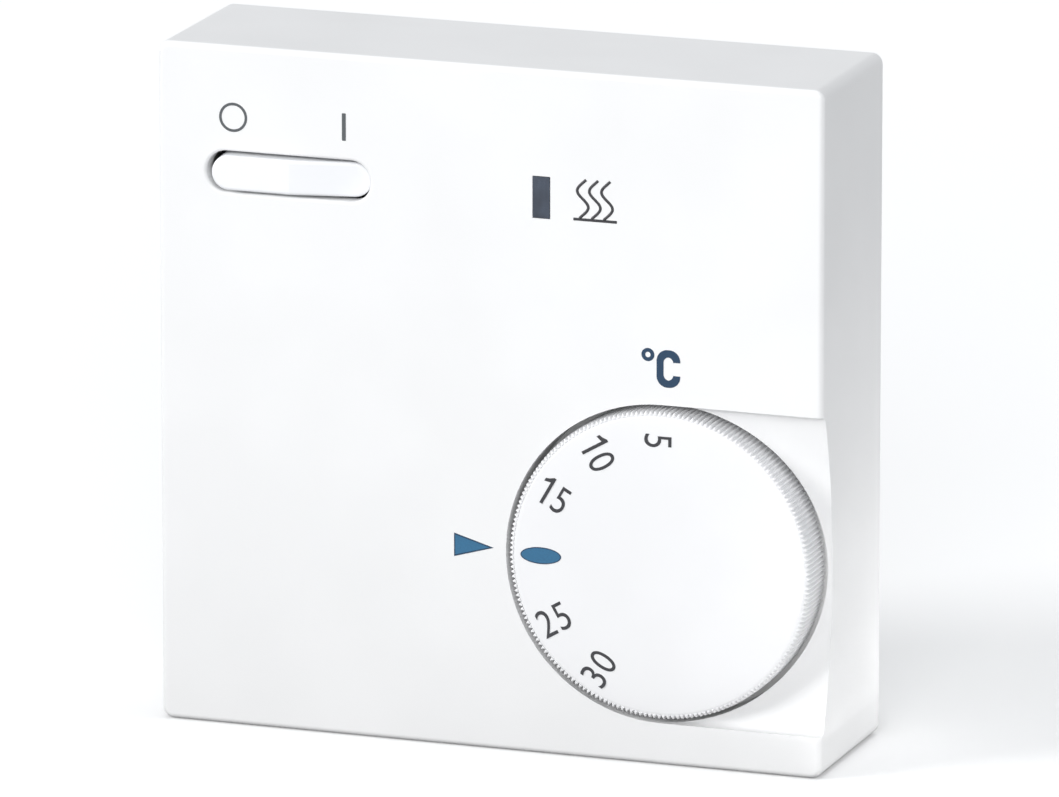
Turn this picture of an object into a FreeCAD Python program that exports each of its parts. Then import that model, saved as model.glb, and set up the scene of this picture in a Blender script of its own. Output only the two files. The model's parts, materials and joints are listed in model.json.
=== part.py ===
# Surface-mounted bimetal room thermostat: a square case, a knurled setting dial over
# a cam and lever, a snap contact, a rocker switch and a lamp.
# Frame: +Z up, +X to the right seen from the front, the wall is the plane Y = 0 and
# the front faces -Y. Origin: centre of the rear face. Depths count from the wall.
import FreeCAD, Part
import Sketcher
import math
import os
import re

doc = FreeCAD.newDocument("WallThermostat")

# ---------------------------------------------------------------- driving dimensions
sizes = {
    # construction: how far joined shapes run together and cuts run past a face
    "lap": 0.4, "overcut": 0.5,
    # case: outer size, depth of the front face, and the set-back base behind the cover
    "caseWidth": 75.0, "caseHeight": 75.0, "frontDepth": 24.8,
    "baseStep": 5.0, "baseInset": 1.8, "baseFloor": 2.2, "rimWall": 1.5,
    "spigotHeight": 3.0, "spigotGap": 0.3,
    "coverWall": 2.2, "coverFace": 2.0, "cornerRound": 1.2, "faceRound": 0.6,
    # cable opening and wall screw slots in the base
    "cableX": -17.0, "cableZ": -12.0, "cableWidth": 22.0, "cableHeight": 16.0,
    "wallScrewSpacing": 60.0, "wallSlotLength": 6.4, "wallSlotWidth": 4.2,
    # shallow moulded relief on the rear face
    "reliefMargin": 2.5, "reliefDepth": 0.6, "ejectorRadius": 2.5, "ejectorDepth": 0.15,
    "ejectorX": 24.0, "ejectorZ": 26.0,
    # air slots
    "ventCount": 9, "ventPitch": 6.0, "ventWidth": 2.4, "ventDepth": 9.0,
    "notchCount": 5, "notchPitch": 12.0, "notchWidth": 6.0, "notchFloor": 3.0,
    "notchHeight": 5.0, "notchInset": 1.5,
    # hooks that hold the top of the cover
    "hookX": 30.0, "hookWidth": 4.0, "hookReach": 0.9, "hookThick": 1.2, "hookDepth": 5.7,
    "hookGap": 0.3,
    # setting dial and the round well that it turns in
    "dialX": 19.5, "dialZ": -15.4, "dialRadius": 16.9, "dialProud": 0.7, "dialGap": 0.6,
    "dialFloorGap": 0.5, "dialFace": 1.6, "dialRim": 1.7, "hubRadius": 5.5,
    "knurlCount": 200, "knurlDepth": 0.32, "dialEdge": 0.25,
    "wellDepth": 5.0, "wellFloor": 1.6, "wellWall": 1.6,
    # thumb recess: a shallow trough from the dial to the right-hand side
    "troughDepth": 3.7, "troughRadius": 58.0, "troughRound": 0.8,
    # turning limit: a peg on the well floor between the tabs of two rings
    "pegInset": 3.2, "pegWidth": 2.0, "pegLength": 2.8, "pegHeight": 1.9,
    "ringThick": 0.9, "ringInner": 8.0, "ringGap": 0.2, "ringStep": 1.4,
    "tabLength": 1.1, "tabWidth": 2.0, "tabFloorGap": 0.3,
    "turnToCold": 90.0, "turnToWarm": 60.0, "stopSlack": 1.0,
    # dial spindle, its bush, clip and lower bearing
    "journalRadius": 2.0, "journalGap": 0.05, "journalBottom": 3.0, "bearingTop": 8.0,
    "bearingRadius": 4.0, "thrustGap": 0.2, "collarRadius": 4.5, "collarThick": 0.8,
    "camSeatRadius": 3.5, "spindleRadius": 3.0, "spindleHoleGap": 0.6, "spindleEnd": 0.2,
    "boreEnd": 0.2,
    "bushRadius": 4.5, "bushFlangeRadius": 5.6, "bushFlange": 1.0,
    "clipGrooveRadius": 2.4, "clipThick": 0.5, "clipRadius": 4.8, "clipGap": 0.15,
    # snail cam and the lever that follows it
    "camRunOut": 12.0, "camRadius": 6.0, "camThick": 2.4, "camBottom": 10.2, "leverRatio": 0.03,
    "noseRadius": 1.5, "noseGap": 0.15,
    "pivotX": 7.0, "pivotZ": -24.0, "pinRadius": 1.5, "pinGap": 0.05, "pivotHub": 3.2,
    "pivotBossRadius": 3.0, "pivotBossTop": 8.8, "leverWidth": 2.2, "sideGap": 0.2,
    "springWire": 0.5, "springRadius": 3.75, "springTurns": 2.5, "springBottom": 5.4,
    "springPitch": 0.8, "springLegTop": 12.0, "springLeg": 5.0, "springReach": 7.0,
    "springGap": 0.45, "springPegRadius": 1.0, "springPegGap": 0.05,
    "springPegOver": 1.2,
    # bimetal strip, carried upright on the end of the lever
    "stripThick": 0.7, "stripWidth": 5.0, "stripBottom": 8.4, "stripRootZ": -9.0,
    "stripTopZ": 19.6, "clampTopZ": -4.6, "rivetRadius": 0.7, "rivetHead": 1.2,
    "rivetHeadThick": 0.4, "rivetInset": 1.1,
    # calibration screw, nut and insulating tip at the strip's free end
    "pusherZ": 17.6, "pusherDepth": 11.2, "nutRadius": 1.6, "nutThick": 1.2,
    "calibrationReach": 1.4, "calibrationLength": 4.4, "calibrationHead": 1.3,
    "calibrationHeadThick": 0.9, "calibrationSlot": 0.4, "calibrationSlotDepth": 0.4,
    "pusherStart": 2.2, "pusherRadius": 1.2, "pusherLength": 2.1, "pusherSocket": 0.8,
    # mechanism plate on its four posts
    "plateX": 16.5, "plateZ": -19.2, "plateWidth": 35.0, "plateHeight": 28.0,
    "plateBottom": 13.8, "plateThick": 1.6, "postRadius": 2.6,
    "postLeftUp": 5.0, "postLeftRise": 16.0, "postLeftLow": 4.0, "postLeftDrop": 6.0,
    "postRight": 14.5, "postRightDrop": 5.0, "postRightRise": 11.2,
    "screwRadius": 1.25, "screwHeadRadius": 2.3, "screwHead": 1.5, "screwSlot": 0.6,
    "screwHoleGap": 0.15, "postBore": 6.0, "postScrewReach": 5.5, "boardScrewReach": 3.4,
    # cover screw, under the dial
    "coverScrewX": 27.2, "coverScrewZ": -23.1, "coverScrewRadius": 1.5,
    "coverScrewHead": 2.7, "coverBossRadius": 3.2, "coverBossGap": 0.2,
    "coverScrewLength": 9.0, "coverScrewSlot": 0.6, "bossHoleGap": 0.4,
    # circuit board
    "boardX": 0.0, "boardZ": 18.65, "boardWidth": 65.0, "boardHeight": 27.7,
    "boardBottom": 6.0, "boardThick": 1.6, "boardPostRadius": 2.5,
    "cornerLeft": 29.0, "cornerRight": 28.6, "cornerRightUp": 28.0, "cornerLow": 10.6,
    "cornerLeftRise": 10.8, "cornerRightRise": 10.4,
    # snap contact
    "armX": 14.0, "armZ": 8.5, "armPin": 0.6, "armKnuckle": 1.2, "armThick": 0.5,
    "armWidth": 3.6, "armTopZ": 21.2, "armGap": 0.2, "contactZ": 19.5, "buttonRadius": 0.9,
    "buttonThick": 0.6, "contactGap": 0.7, "postThick": 1.0, "magnetZ": 14.0,
    "magnetHeight": 2.8, "magnetThick": 1.0, "magnetWidth": 3.2, "magnetMargin": 0.3,
    "bracketThick": 1.2, "bracketWidth": 3.6, "bracketReach": 5.2, "bracketShift": 0.8,
    "knuckleRim": 0.4, "fixedButtonOver": 0.1, "postOver": 0.4, "postRise": 2.0,
    # lamp window, lamp and resistors
    "lampX": 6.0, "lampZ": 23.65, "lensWidth": 1.9, "lensHeight": 4.5, "lensGap": 0.05,
    "lensFlange": 0.8, "lensFlangeEdge": 0.9, "bulbRadius": 1.9, "bulbLength": 9.0,
    "bulbStand": 2.0, "leadRadius": 0.3, "resistorRadius": 1.1, "resistorLength": 6.4,
    "resistorStand": 1.6, "leadReach": 1.8, "lensSunk": 0.05,
    "lampResistorX": 4.0, "lampResistorZ": 5.6, "heatResistorX": -6.0,
    "heatResistorZ": -4.0,
    # rocker switch
    "rockerMargin": 5.95, "rockerZ": 23.7, "slotEndGap": 0.5, "slotSideGap": 0.35,
    "slotEdge": 0.35, "rockerLength": 17.7, "rockerHeight": 3.8, "rockerTilt": 6.0,
    "rockerPivot": 3.4, "rockerProud": 0.7, "rockerSkirt": 1.0, "rockerRound": 0.35,
    "trunnionRadius": 0.6, "trunnionGap": 0.05, "trunnionReach": 3.3,
    "tubeRadius": 1.6, "tubeLength": 3.6, "tubeBore": 1.0, "plungerGap": 0.05,
    "plungerReach": 6.3, "plungerLength": 2.6, "rockerWire": 0.24, "rockerTurns": 5.0,
    "coilGap": 0.08,
    "housingOver": 0.75, "housingWidth": 7.6, "housingWall": 1.3, "housingFloor": 1.8,
    "housingTop": 22.6, "housingEndDrop": 1.07,
    # see-saw contact under the rocker
    "seesawPivot": 7.2, "seesawLength": 12.4, "seesawWidth": 2.6, "seesawThick": 0.5,
    "seesawRise": 0.3, "seesawKnuckle": 1.15, "seesawPin": 0.6, "seesawContact": 5.4,
    "earThick": 0.7, "earWidth": 1.8, "earOver": 0.9, "footGap": 0.4,
    "seesawButton": 0.8, "seesawButtonThick": 0.6, "fixedLegWidth": 1.6,
    "switchButtonThick": 0.5, "touchGap": 0.1,
    # terminal block
    "poleCount": 4, "polePitch": 6.0, "terminalX": -12.0, "terminalZ": 10.6,
    "terminalHeight": 10.0, "terminalDepth": 9.0, "clampWidth": 4.2, "clampHeight": 5.0,
    "clampDepth": 4.8, "clampGap": 0.2, "terminalWall": 1.4, "wireRadius": 1.4,
    "terminalScrew": 1.3, "terminalHead": 1.8, "terminalHeadThick": 1.4,
    "terminalScrewLength": 1.8, "clampInset": 1.0, "wireFloor": 0.4,
}

sheet = doc.addObject("Spreadsheet::Sheet", "Sizes")
for row, (alias, value) in enumerate(sizes.items(), 1):
    sheet.set("A%d" % row, alias)
    sheet.set("B%d" % row, str(value))
    sheet.setAlias("B%d" % row, alias)
doc.recompute()


# ---------------------------------------------------------------- small helpers
def sized(text):
    """An expression in which each name of a size points at its cell."""
    def cell(match):
        word = match.group(0)
        return "Sizes." + word if word in sizes else word
    return re.sub(r"[A-Za-z_]\w*", cell, text)


def bind(thing, links):
    for prop, text in links.items():
        thing.setExpression(prop, sized(text))


def first_size(text):
    """A starting value for a sketch dimension: the first size that the expression names."""
    for word in re.findall(r"[A-Za-z_]\w*", text):
        if word in sizes:
            return abs(sizes[word]) or 1.0
    return 1.0


def vec(x, y, z):
    return FreeCAD.Vector(x, y, z)


nodes = []


def node(thing, label):
    thing.Label = label
    nodes.append(thing)
    return thing


# Part primitives. x and z are the middle of the piece, depth is its side nearest the
# wall, and it grows from there towards the front.
def block(name, x, z, depth, width, height, thick):
    piece = doc.addObject("Part::Box", name)
    bind(piece, {
        "Length": width, "Width": thick, "Height": height,
        "Placement.Base.x": "(%s) - (%s) / 2" % (x, width),
        "Placement.Base.y": "-(%s) - (%s)" % (depth, thick),
        "Placement.Base.z": "(%s) - (%s) / 2" % (z, height)})
    return piece


def rod(name, x, z, depth, radius, length):
    piece = doc.addObject("Part::Cylinder", name)
    piece.Placement.Rotation = FreeCAD.Rotation(vec(1, 0, 0), 90)
    bind(piece, {
        "Radius": radius, "Height": length, "Placement.Base.x": x,
        "Placement.Base.y": "-(%s)" % depth, "Placement.Base.z": z})
    return piece


def rod_along_x(name, x, z, depth, radius, length):
    """A rod that starts at x and runs to the right; depth is that of its axis."""
    piece = doc.addObject("Part::Cylinder", name)
    piece.Placement.Rotation = FreeCAD.Rotation(vec(0, 1, 0), 90)
    bind(piece, {
        "Radius": radius, "Height": length, "Placement.Base.x": x,
        "Placement.Base.y": "-(%s)" % depth, "Placement.Base.z": z})
    return piece


def rod_along_z(name, x, z, depth, radius, length):
    """A rod that is centred on z and stands upright; depth is that of its axis."""
    piece = doc.addObject("Part::Cylinder", name)
    bind(piece, {
        "Radius": radius, "Height": length, "Placement.Base.x": x,
        "Placement.Base.y": "-(%s)" % depth,
        "Placement.Base.z": "(%s) - (%s) / 2" % (z, length)})
    return piece


def taper(name, x, z, depth, near_radius, far_radius, length):
    piece = doc.addObject("Part::Cone", name)
    piece.Placement.Rotation = FreeCAD.Rotation(vec(1, 0, 0), 90)
    bind(piece, {
        "Radius1": near_radius, "Radius2": far_radius, "Height": length,
        "Placement.Base.x": x, "Placement.Base.y": "-(%s)" % depth,
        "Placement.Base.z": z})
    return piece


def join(name, *pieces):
    whole = doc.addObject("Part::MultiFuse", name)
    whole.Shapes = list(pieces)
    whole.Refine = True
    return whole


def cut(name, piece, *tools):
    if len(tools) > 1:
        tool = join(name + "_tools", *tools)
    else:
        tool = tools[0]
    whole = doc.addObject("Part::Cut", name)
    whole.Base = piece
    whole.Tool = tool
    whole.Refine = True
    return whole


def group(name, pieces):
    whole = doc.addObject("Part::Compound", name)
    whole.Links = pieces
    return whole


# PartDesign bodies. A sketch on XZ_Plane looks at the object from the front, and its
# normal points to the front, so a pad grows forwards and a pocket cuts to the wall.
def plane_of(body, role):
    for feature in body.Origin.OriginFeatures:
        if feature.Role == role:
            return feature
    raise RuntimeError("no plane " + role)


def sketch(body, name, role="XZ_Plane", x="0", y="0", offset="0"):
    made = body.newObject("Sketcher::SketchObject", name)
    made.AttachmentSupport = [(plane_of(body, role), "")]
    made.MapMode = "FlatFace"
    bind(made, {
        "AttachmentOffset.Base.x": x, "AttachmentOffset.Base.y": y,
        "AttachmentOffset.Base.z": offset})
    return made


def dimension(made, kind, where, text):
    index = made.addConstraint(Sketcher.Constraint(kind, *where, first_size(text)))
    made.setExpression("Constraints[%d]" % index, sized(text))


def closed_lines(made, points):
    lines = []
    for index, point in enumerate(points):
        after = points[(index + 1) % len(points)]
        lines.append(made.addGeometry(Part.LineSegment(point, after), False))
    for index, line in enumerate(lines):
        after = lines[(index + 1) % len(lines)]
        made.addConstraint(Sketcher.Constraint("Coincident", line, 2, after, 1))
    return lines


def rectangle(made, width, height):
    """A rectangle centred on the sketch's origin."""
    w = first_size(width) / 2
    h = first_size(height) / 2
    low, right, top, left = closed_lines(
        made, [vec(-w, -h, 0), vec(w, -h, 0), vec(w, h, 0), vec(-w, h, 0)])
    for line in (low, top):
        made.addConstraint(Sketcher.Constraint("Horizontal", line))
    for line in (right, left):
        made.addConstraint(Sketcher.Constraint("Vertical", line))
    made.addConstraint(Sketcher.Constraint("Symmetric", low, 1, right, 2, -1, 1))
    dimension(made, "DistanceX", (low, 1, low, 2), width)
    dimension(made, "DistanceY", (right, 1, right, 2), height)


def circle(made, radius):
    round_line = made.addGeometry(
        Part.Circle(vec(0, 0, 0), vec(0, 0, 1), first_size(radius)), False)
    made.addConstraint(Sketcher.Constraint("Coincident", round_line, 3, -1, 1))
    dimension(made, "Radius", (round_line,), radius)


def obround(made, length, height):
    """A level slot with round ends, centred on the sketch's origin."""
    radius = first_size(height) / 2
    reach = first_size(length) / 2 - radius
    turn = math.pi / 2
    right = made.addGeometry(Part.ArcOfCircle(
        Part.Circle(vec(reach, 0, 0), vec(0, 0, 1), radius), -turn, turn), False)
    left = made.addGeometry(Part.ArcOfCircle(
        Part.Circle(vec(-reach, 0, 0), vec(0, 0, 1), radius), turn, 3 * turn), False)
    top = made.addGeometry(
        Part.LineSegment(vec(reach, radius, 0), vec(-reach, radius, 0)), False)
    low = made.addGeometry(
        Part.LineSegment(vec(-reach, -radius, 0), vec(reach, -radius, 0)), False)
    ring = [right, top, left, low]
    for index, line in enumerate(ring):
        after = ring[(index + 1) % 4]
        made.addConstraint(Sketcher.Constraint("Tangent", line, 2, after, 1))
    made.addConstraint(Sketcher.Constraint("Equal", right, left))
    made.addConstraint(Sketcher.Constraint("Horizontal", top))
    made.addConstraint(Sketcher.Constraint("Symmetric", right, 3, left, 3, -1, 1))
    dimension(made, "Radius", (right,), "(%s) / 2" % height)
    dimension(made, "DistanceX", (left, 3, right, 3), "(%s) - (%s)" % (length, height))


def arch(made, radius, reach):
    """A half circle open to the right, closed by a straight side at reach."""
    r = sizes["dialRadius"]
    turn = math.pi / 2
    bow = made.addGeometry(Part.ArcOfCircle(
        Part.Circle(vec(0, 0, 0), vec(0, 0, 1), r), turn, 3 * turn), False)
    low = made.addGeometry(Part.LineSegment(vec(0, -r, 0), vec(r, -r, 0)), False)
    side = made.addGeometry(Part.LineSegment(vec(r, -r, 0), vec(r, r, 0)), False)
    top = made.addGeometry(Part.LineSegment(vec(r, r, 0), vec(0, r, 0)), False)
    ring = [bow, low, side, top]
    made.addConstraint(Sketcher.Constraint("Coincident", bow, 3, -1, 1))
    for index, line in enumerate(ring):
        after = ring[(index + 1) % 4]
        made.addConstraint(Sketcher.Constraint("Coincident", line, 2, after, 1))
    for line in (low, top):
        made.addConstraint(Sketcher.Constraint("Horizontal", line))
    made.addConstraint(Sketcher.Constraint("Vertical", side))
    made.addConstraint(Sketcher.Constraint("PointOnObject", bow, 1, -2))
    made.addConstraint(Sketcher.Constraint("PointOnObject", bow, 2, -2))
    dimension(made, "Radius", (bow,), radius)
    dimension(made, "DistanceX", (-1, 1, side, 1), reach)


def feature(body, kind, name, profile, length, back=False, both=False):
    before = body.Tip.Shape.Volume if body.Tip else 0.0
    made = body.newObject("PartDesign::" + kind, name)
    made.Profile = profile
    bind(made, {"Length": length})
    made.Reversed = back
    made.Midplane = both
    doc.recompute()
    after = made.Shape.Volume
    if kind == "Pocket" and not after < before - 1e-6:
        raise RuntimeError(name + " cuts nothing")
    if kind == "Pad" and not after > before + 1e-6:
        raise RuntimeError(name + " adds nothing")
    return made


def pad(body, name, profile, length, back=False, both=False):
    return feature(body, "Pad", name, profile, length, back, both)


def pocket(body, name, profile, length, back=False, both=False):
    return feature(body, "Pocket", name, profile, length, back, both)


def dress(body, kind, name, size, wanted):
    """A fillet or chamfer on every edge of the body that wanted() picks."""
    doc.recompute()
    tip = body.Tip
    picked = ["Edge%d" % (i + 1) for i, edge in enumerate(tip.Shape.Edges) if wanted(edge)]
    if not picked:
        raise RuntimeError(name + " finds no edge")
    made = body.newObject("PartDesign::" + kind, name)
    made.Base = (tip, picked)
    bind(made, {"Radius" if kind == "Fillet" else "Size": size})
    doc.recompute()
    return made


def repeat(body, name, features, axis_sketch, axis, span, count):
    made = body.newObject("PartDesign::LinearPattern", name)
    made.Originals = features
    made.Direction = (axis_sketch, [axis])
    bind(made, {"Length": span, "Occurrences": count})
    body.Tip = made
    doc.recompute()
    return made


def mirror(body, name, features, role):
    made = body.newObject("PartDesign::Mirrored", name)
    made.Originals = features
    made.MirrorPlane = (plane_of(body, role), [""])
    body.Tip = made
    doc.recompute()
    return made


def runs_along(edge, axis):
    if edge.Curve.TypeId != "Part::GeomLine":
        return False
    return abs(abs(edge.Curve.Direction.dot(axis)) - 1) < 1e-6


def lies_at_depth(edge, depth):
    box = edge.BoundBox
    return abs(box.YMin + depth) < 1e-5 and abs(box.YMax + depth) < 1e-5


def near(edge, x, z, reach):
    middle = edge.BoundBox.Center
    return math.hypot(middle.x - x, middle.z - z) < reach


# ---------------------------------------------------------------- places used by several pieces
cover_wall_inside = "caseWidth / 2 - coverWall"
cover_face_inside = "frontDepth - coverFace"
spigot_width = "caseWidth - 2 * coverWall - 2 * spigotGap"
spigot_height = "caseHeight - 2 * coverWall - 2 * spigotGap"
well_radius = "dialRadius + dialGap"
min_ring_radius = "(dialRadius - dialRim - ringGap)"
max_ring_radius = "(dialRadius - dialRim - ringGap - ringStep)"
well_bottom = "frontDepth - wellDepth"
well_underside = "frontDepth - wellDepth - wellFloor"
plate_top = "plateBottom + plateThick"
board_top = "boardBottom + boardThick"
clip_bottom = "plateBottom + plateThick + bushFlange + clipGap"
strip_x = "pivotX + leverWidth / 2"
rivet_places = ["stripRootZ + rivetInset", "clampTopZ - rivetInset"]
spring_peg_x = "pivotX + springRadius + springWire / 2 + springPegGap + springPegRadius"
rocker_x = "rockerMargin + rockerLength / 2 - caseWidth / 2"
rocker_axis = "frontDepth - rockerPivot"
housing_length = "rockerLength + 2 * housingOver"
housing_end_top = "frontDepth - rockerPivot - housingEndDrop - rockerLength / 2 * sin(rockerTilt * 1 deg)"
seesaw_axis = "frontDepth - rockerPivot - seesawPivot"
plate_posts = [("pivotX - postLeftUp", "pivotZ + postLeftRise"),
               ("pivotX - postLeftLow", "pivotZ - postLeftDrop"),
               ("plateX + postRight", "pivotZ - postRightDrop"),
               ("plateX + postRight", "plateZ + postRightRise")]
board_corners = [("boardX - cornerLeft", "boardZ - cornerLow"),
                 ("boardX + cornerRightUp", "boardZ + cornerRightRise"),
                 ("boardX + cornerRight", "boardZ - cornerLow"),
                 ("boardX - cornerLeft", "boardZ + cornerLeftRise")]


def read(name):
    """A driving size, as a number."""
    return float(sizes[name])


def rocker_middle():
    """Where the rocker's middle lies along X, as a number."""
    return read("rockerMargin") + read("rockerLength") / 2 - read("caseWidth") / 2


# ---------------------------------------------------------------- front cover
def make_front_cover():
    body = doc.addObject("PartDesign::Body", "FrontCover")
    outline = sketch(body, "cover_outline", offset="baseStep")
    rectangle(outline, "caseWidth", "caseHeight")
    pad(body, "cover_block", outline, "frontDepth - baseStep")
    dress(body, "Fillet", "corner_rounds", "cornerRound",
          lambda edge: runs_along(edge, vec(0, 1, 0)))
    dress(body, "Fillet", "face_round", "faceRound",
          lambda edge: lies_at_depth(edge, sizes["frontDepth"]))
    inside = sketch(body, "cover_inside", offset="baseStep")
    rectangle(inside, "caseWidth - 2 * coverWall", "caseHeight - 2 * coverWall")
    pocket(body, "cover_cavity", inside, "frontDepth - coverFace - baseStep", back=True)

    # the lowered floor under the dial and its recess
    dial = {"x": "dialX", "y": "dialZ"}
    backing = sketch(body, "well_backing", offset=well_underside, **dial)
    arch(backing, well_radius + " + wellWall", cover_wall_inside + " - dialX + lap")
    pad(body, "well_body", backing, "wellDepth + wellFloor - coverFace + lap")

    # thumb recess: its floor is a wide arc, deepest beside the middle of the dial
    trough = sketch(body, "trough_section", "YZ_Plane", x="-frontDepth", y="dialZ",
                    offset="dialX")
    radius = sizes["troughRadius"]
    half = sizes["dialRadius"] + sizes["dialGap"]
    lean = math.asin(half / radius)
    centre = sizes["troughDepth"] - radius
    end_x = centre + radius * math.cos(lean)
    ahead = -sizes["dialProud"] - sizes["overcut"]
    arc = trough.addGeometry(Part.ArcOfCircle(
        Part.Circle(vec(centre, 0, 0), vec(0, 0, 1), radius), -lean, lean), False)
    top = trough.addGeometry(
        Part.LineSegment(vec(end_x, half, 0), vec(ahead, half, 0)), False)
    front = trough.addGeometry(
        Part.LineSegment(vec(ahead, half, 0), vec(ahead, -half, 0)), False)
    low = trough.addGeometry(
        Part.LineSegment(vec(ahead, -half, 0), vec(end_x, -half, 0)), False)
    ring = [arc, top, front, low]
    for index, line in enumerate(ring):
        after = ring[(index + 1) % 4]
        trough.addConstraint(Sketcher.Constraint("Coincident", line, 2, after, 1))
    for line in (top, low):
        trough.addConstraint(Sketcher.Constraint("Horizontal", line))
    trough.addConstraint(Sketcher.Constraint("Vertical", front))
    trough.addConstraint(Sketcher.Constraint("PointOnObject", arc, 3, -1))
    trough.addConstraint(Sketcher.Constraint("Symmetric", arc, 1, arc, 2, -1))
    dimension(trough, "Radius", (arc,), "troughRadius")
    dimension(trough, "DistanceY", (front, 2, front, 1), "2 * (" + well_radius + ")")
    dimension(trough, "DistanceX", (arc, 3, -1, 1), "troughRadius - troughDepth")
    dimension(trough, "DistanceX", (front, 1, -1, 1), "dialProud + overcut")
    pocket(body, "trough", trough, "caseWidth / 2 - dialX + overcut", back=True)
    at_face = 1e-3 - sizes["frontDepth"]
    wall_line = {round(sizes["dialZ"] + half, 4), round(sizes["dialZ"] - half, 4)}
    dress(body, "Fillet", "trough_corners", "troughRound",
          lambda edge: runs_along(edge, vec(1, 0, 0))
          and round(edge.BoundBox.ZMin, 4) in wall_line
          and edge.BoundBox.YMin > at_face)

    well = sketch(body, "well_outline", offset="frontDepth", **dial)
    circle(well, well_radius)
    pocket(body, "dial_well", well, "wellDepth")
    hole = sketch(body, "spindle_hole_outline", offset=well_bottom, **dial)
    circle(hole, "spindleRadius + spindleHoleGap")
    pocket(body, "spindle_hole", hole, "wellFloor + overcut")
    peg = sketch(body, "stop_peg_outline", x="dialX", y="dialZ + dialRadius - pegInset",
                 offset=well_bottom)
    rectangle(peg, "pegWidth", "pegLength")
    pad(body, "stop_peg", peg, "pegHeight")

    # countersunk hole of the cover screw
    screw = sketch(body, "cover_screw_outline", x="coverScrewX", y="coverScrewZ",
                   offset=well_bottom)
    circle(screw, "coverScrewRadius + screwHoleGap")
    pocket(body, "cover_screw_hole", screw, "wellFloor + overcut")
    dress(body, "Chamfer", "cover_screw_sink", "coverScrewHead - coverScrewRadius",
          lambda edge: lies_at_depth(edge, sizes["frontDepth"] - sizes["wellDepth"])
          and near(edge, sizes["coverScrewX"], sizes["coverScrewZ"], 0.5))

    # openings of the rocker and the lamp window
    slot = sketch(body, "rocker_slot_outline", x=rocker_x, y="rockerZ",
                  offset="frontDepth")
    obround(slot, "rockerLength + 2 * slotEndGap", "rockerHeight + 2 * slotSideGap")
    pocket(body, "rocker_slot", slot, "coverFace + overcut")
    dress(body, "Fillet", "slot_edge", "slotEdge",
          lambda edge: lies_at_depth(edge, sizes["frontDepth"])
          and near(edge, rocker_middle(), sizes["rockerZ"], sizes["rockerLength"] * 0.55))
    window = sketch(body, "window_outline", x="lampX", y="lampZ", offset="frontDepth")
    rectangle(window, "lensWidth + 2 * lensGap", "lensHeight + 2 * lensGap")
    pocket(body, "lamp_window", window, "coverFace + overcut")

    # air slots in the lower side
    vent = sketch(body, "vent_outline", "XY_Plane", x="-ventPitch * (ventCount - 1) / 2",
                  y="-(baseStep + frontDepth) / 2",
                  offset="coverWall + overcut - caseHeight / 2")
    rectangle(vent, "ventWidth", "ventDepth")
    first_vent = pocket(body, "vent", vent, "coverWall + 2 * overcut")
    repeat(body, "vents", [first_vent], vent, "H_Axis", "ventPitch * (ventCount - 1)",
           "ventCount")

    # hooks behind the top edge
    hook = sketch(body, "hook_outline", x="hookX",
                  y="caseHeight / 2 - coverWall - hookReach / 2 + lap / 2",
                  offset="hookDepth")
    rectangle(hook, "hookWidth", "hookReach + lap")
    first_hook = pad(body, "hook", hook, "hookThick")
    mirror(body, "hooks", [first_hook], "YZ_Plane")
    return node(body, "front_cover")


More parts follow.
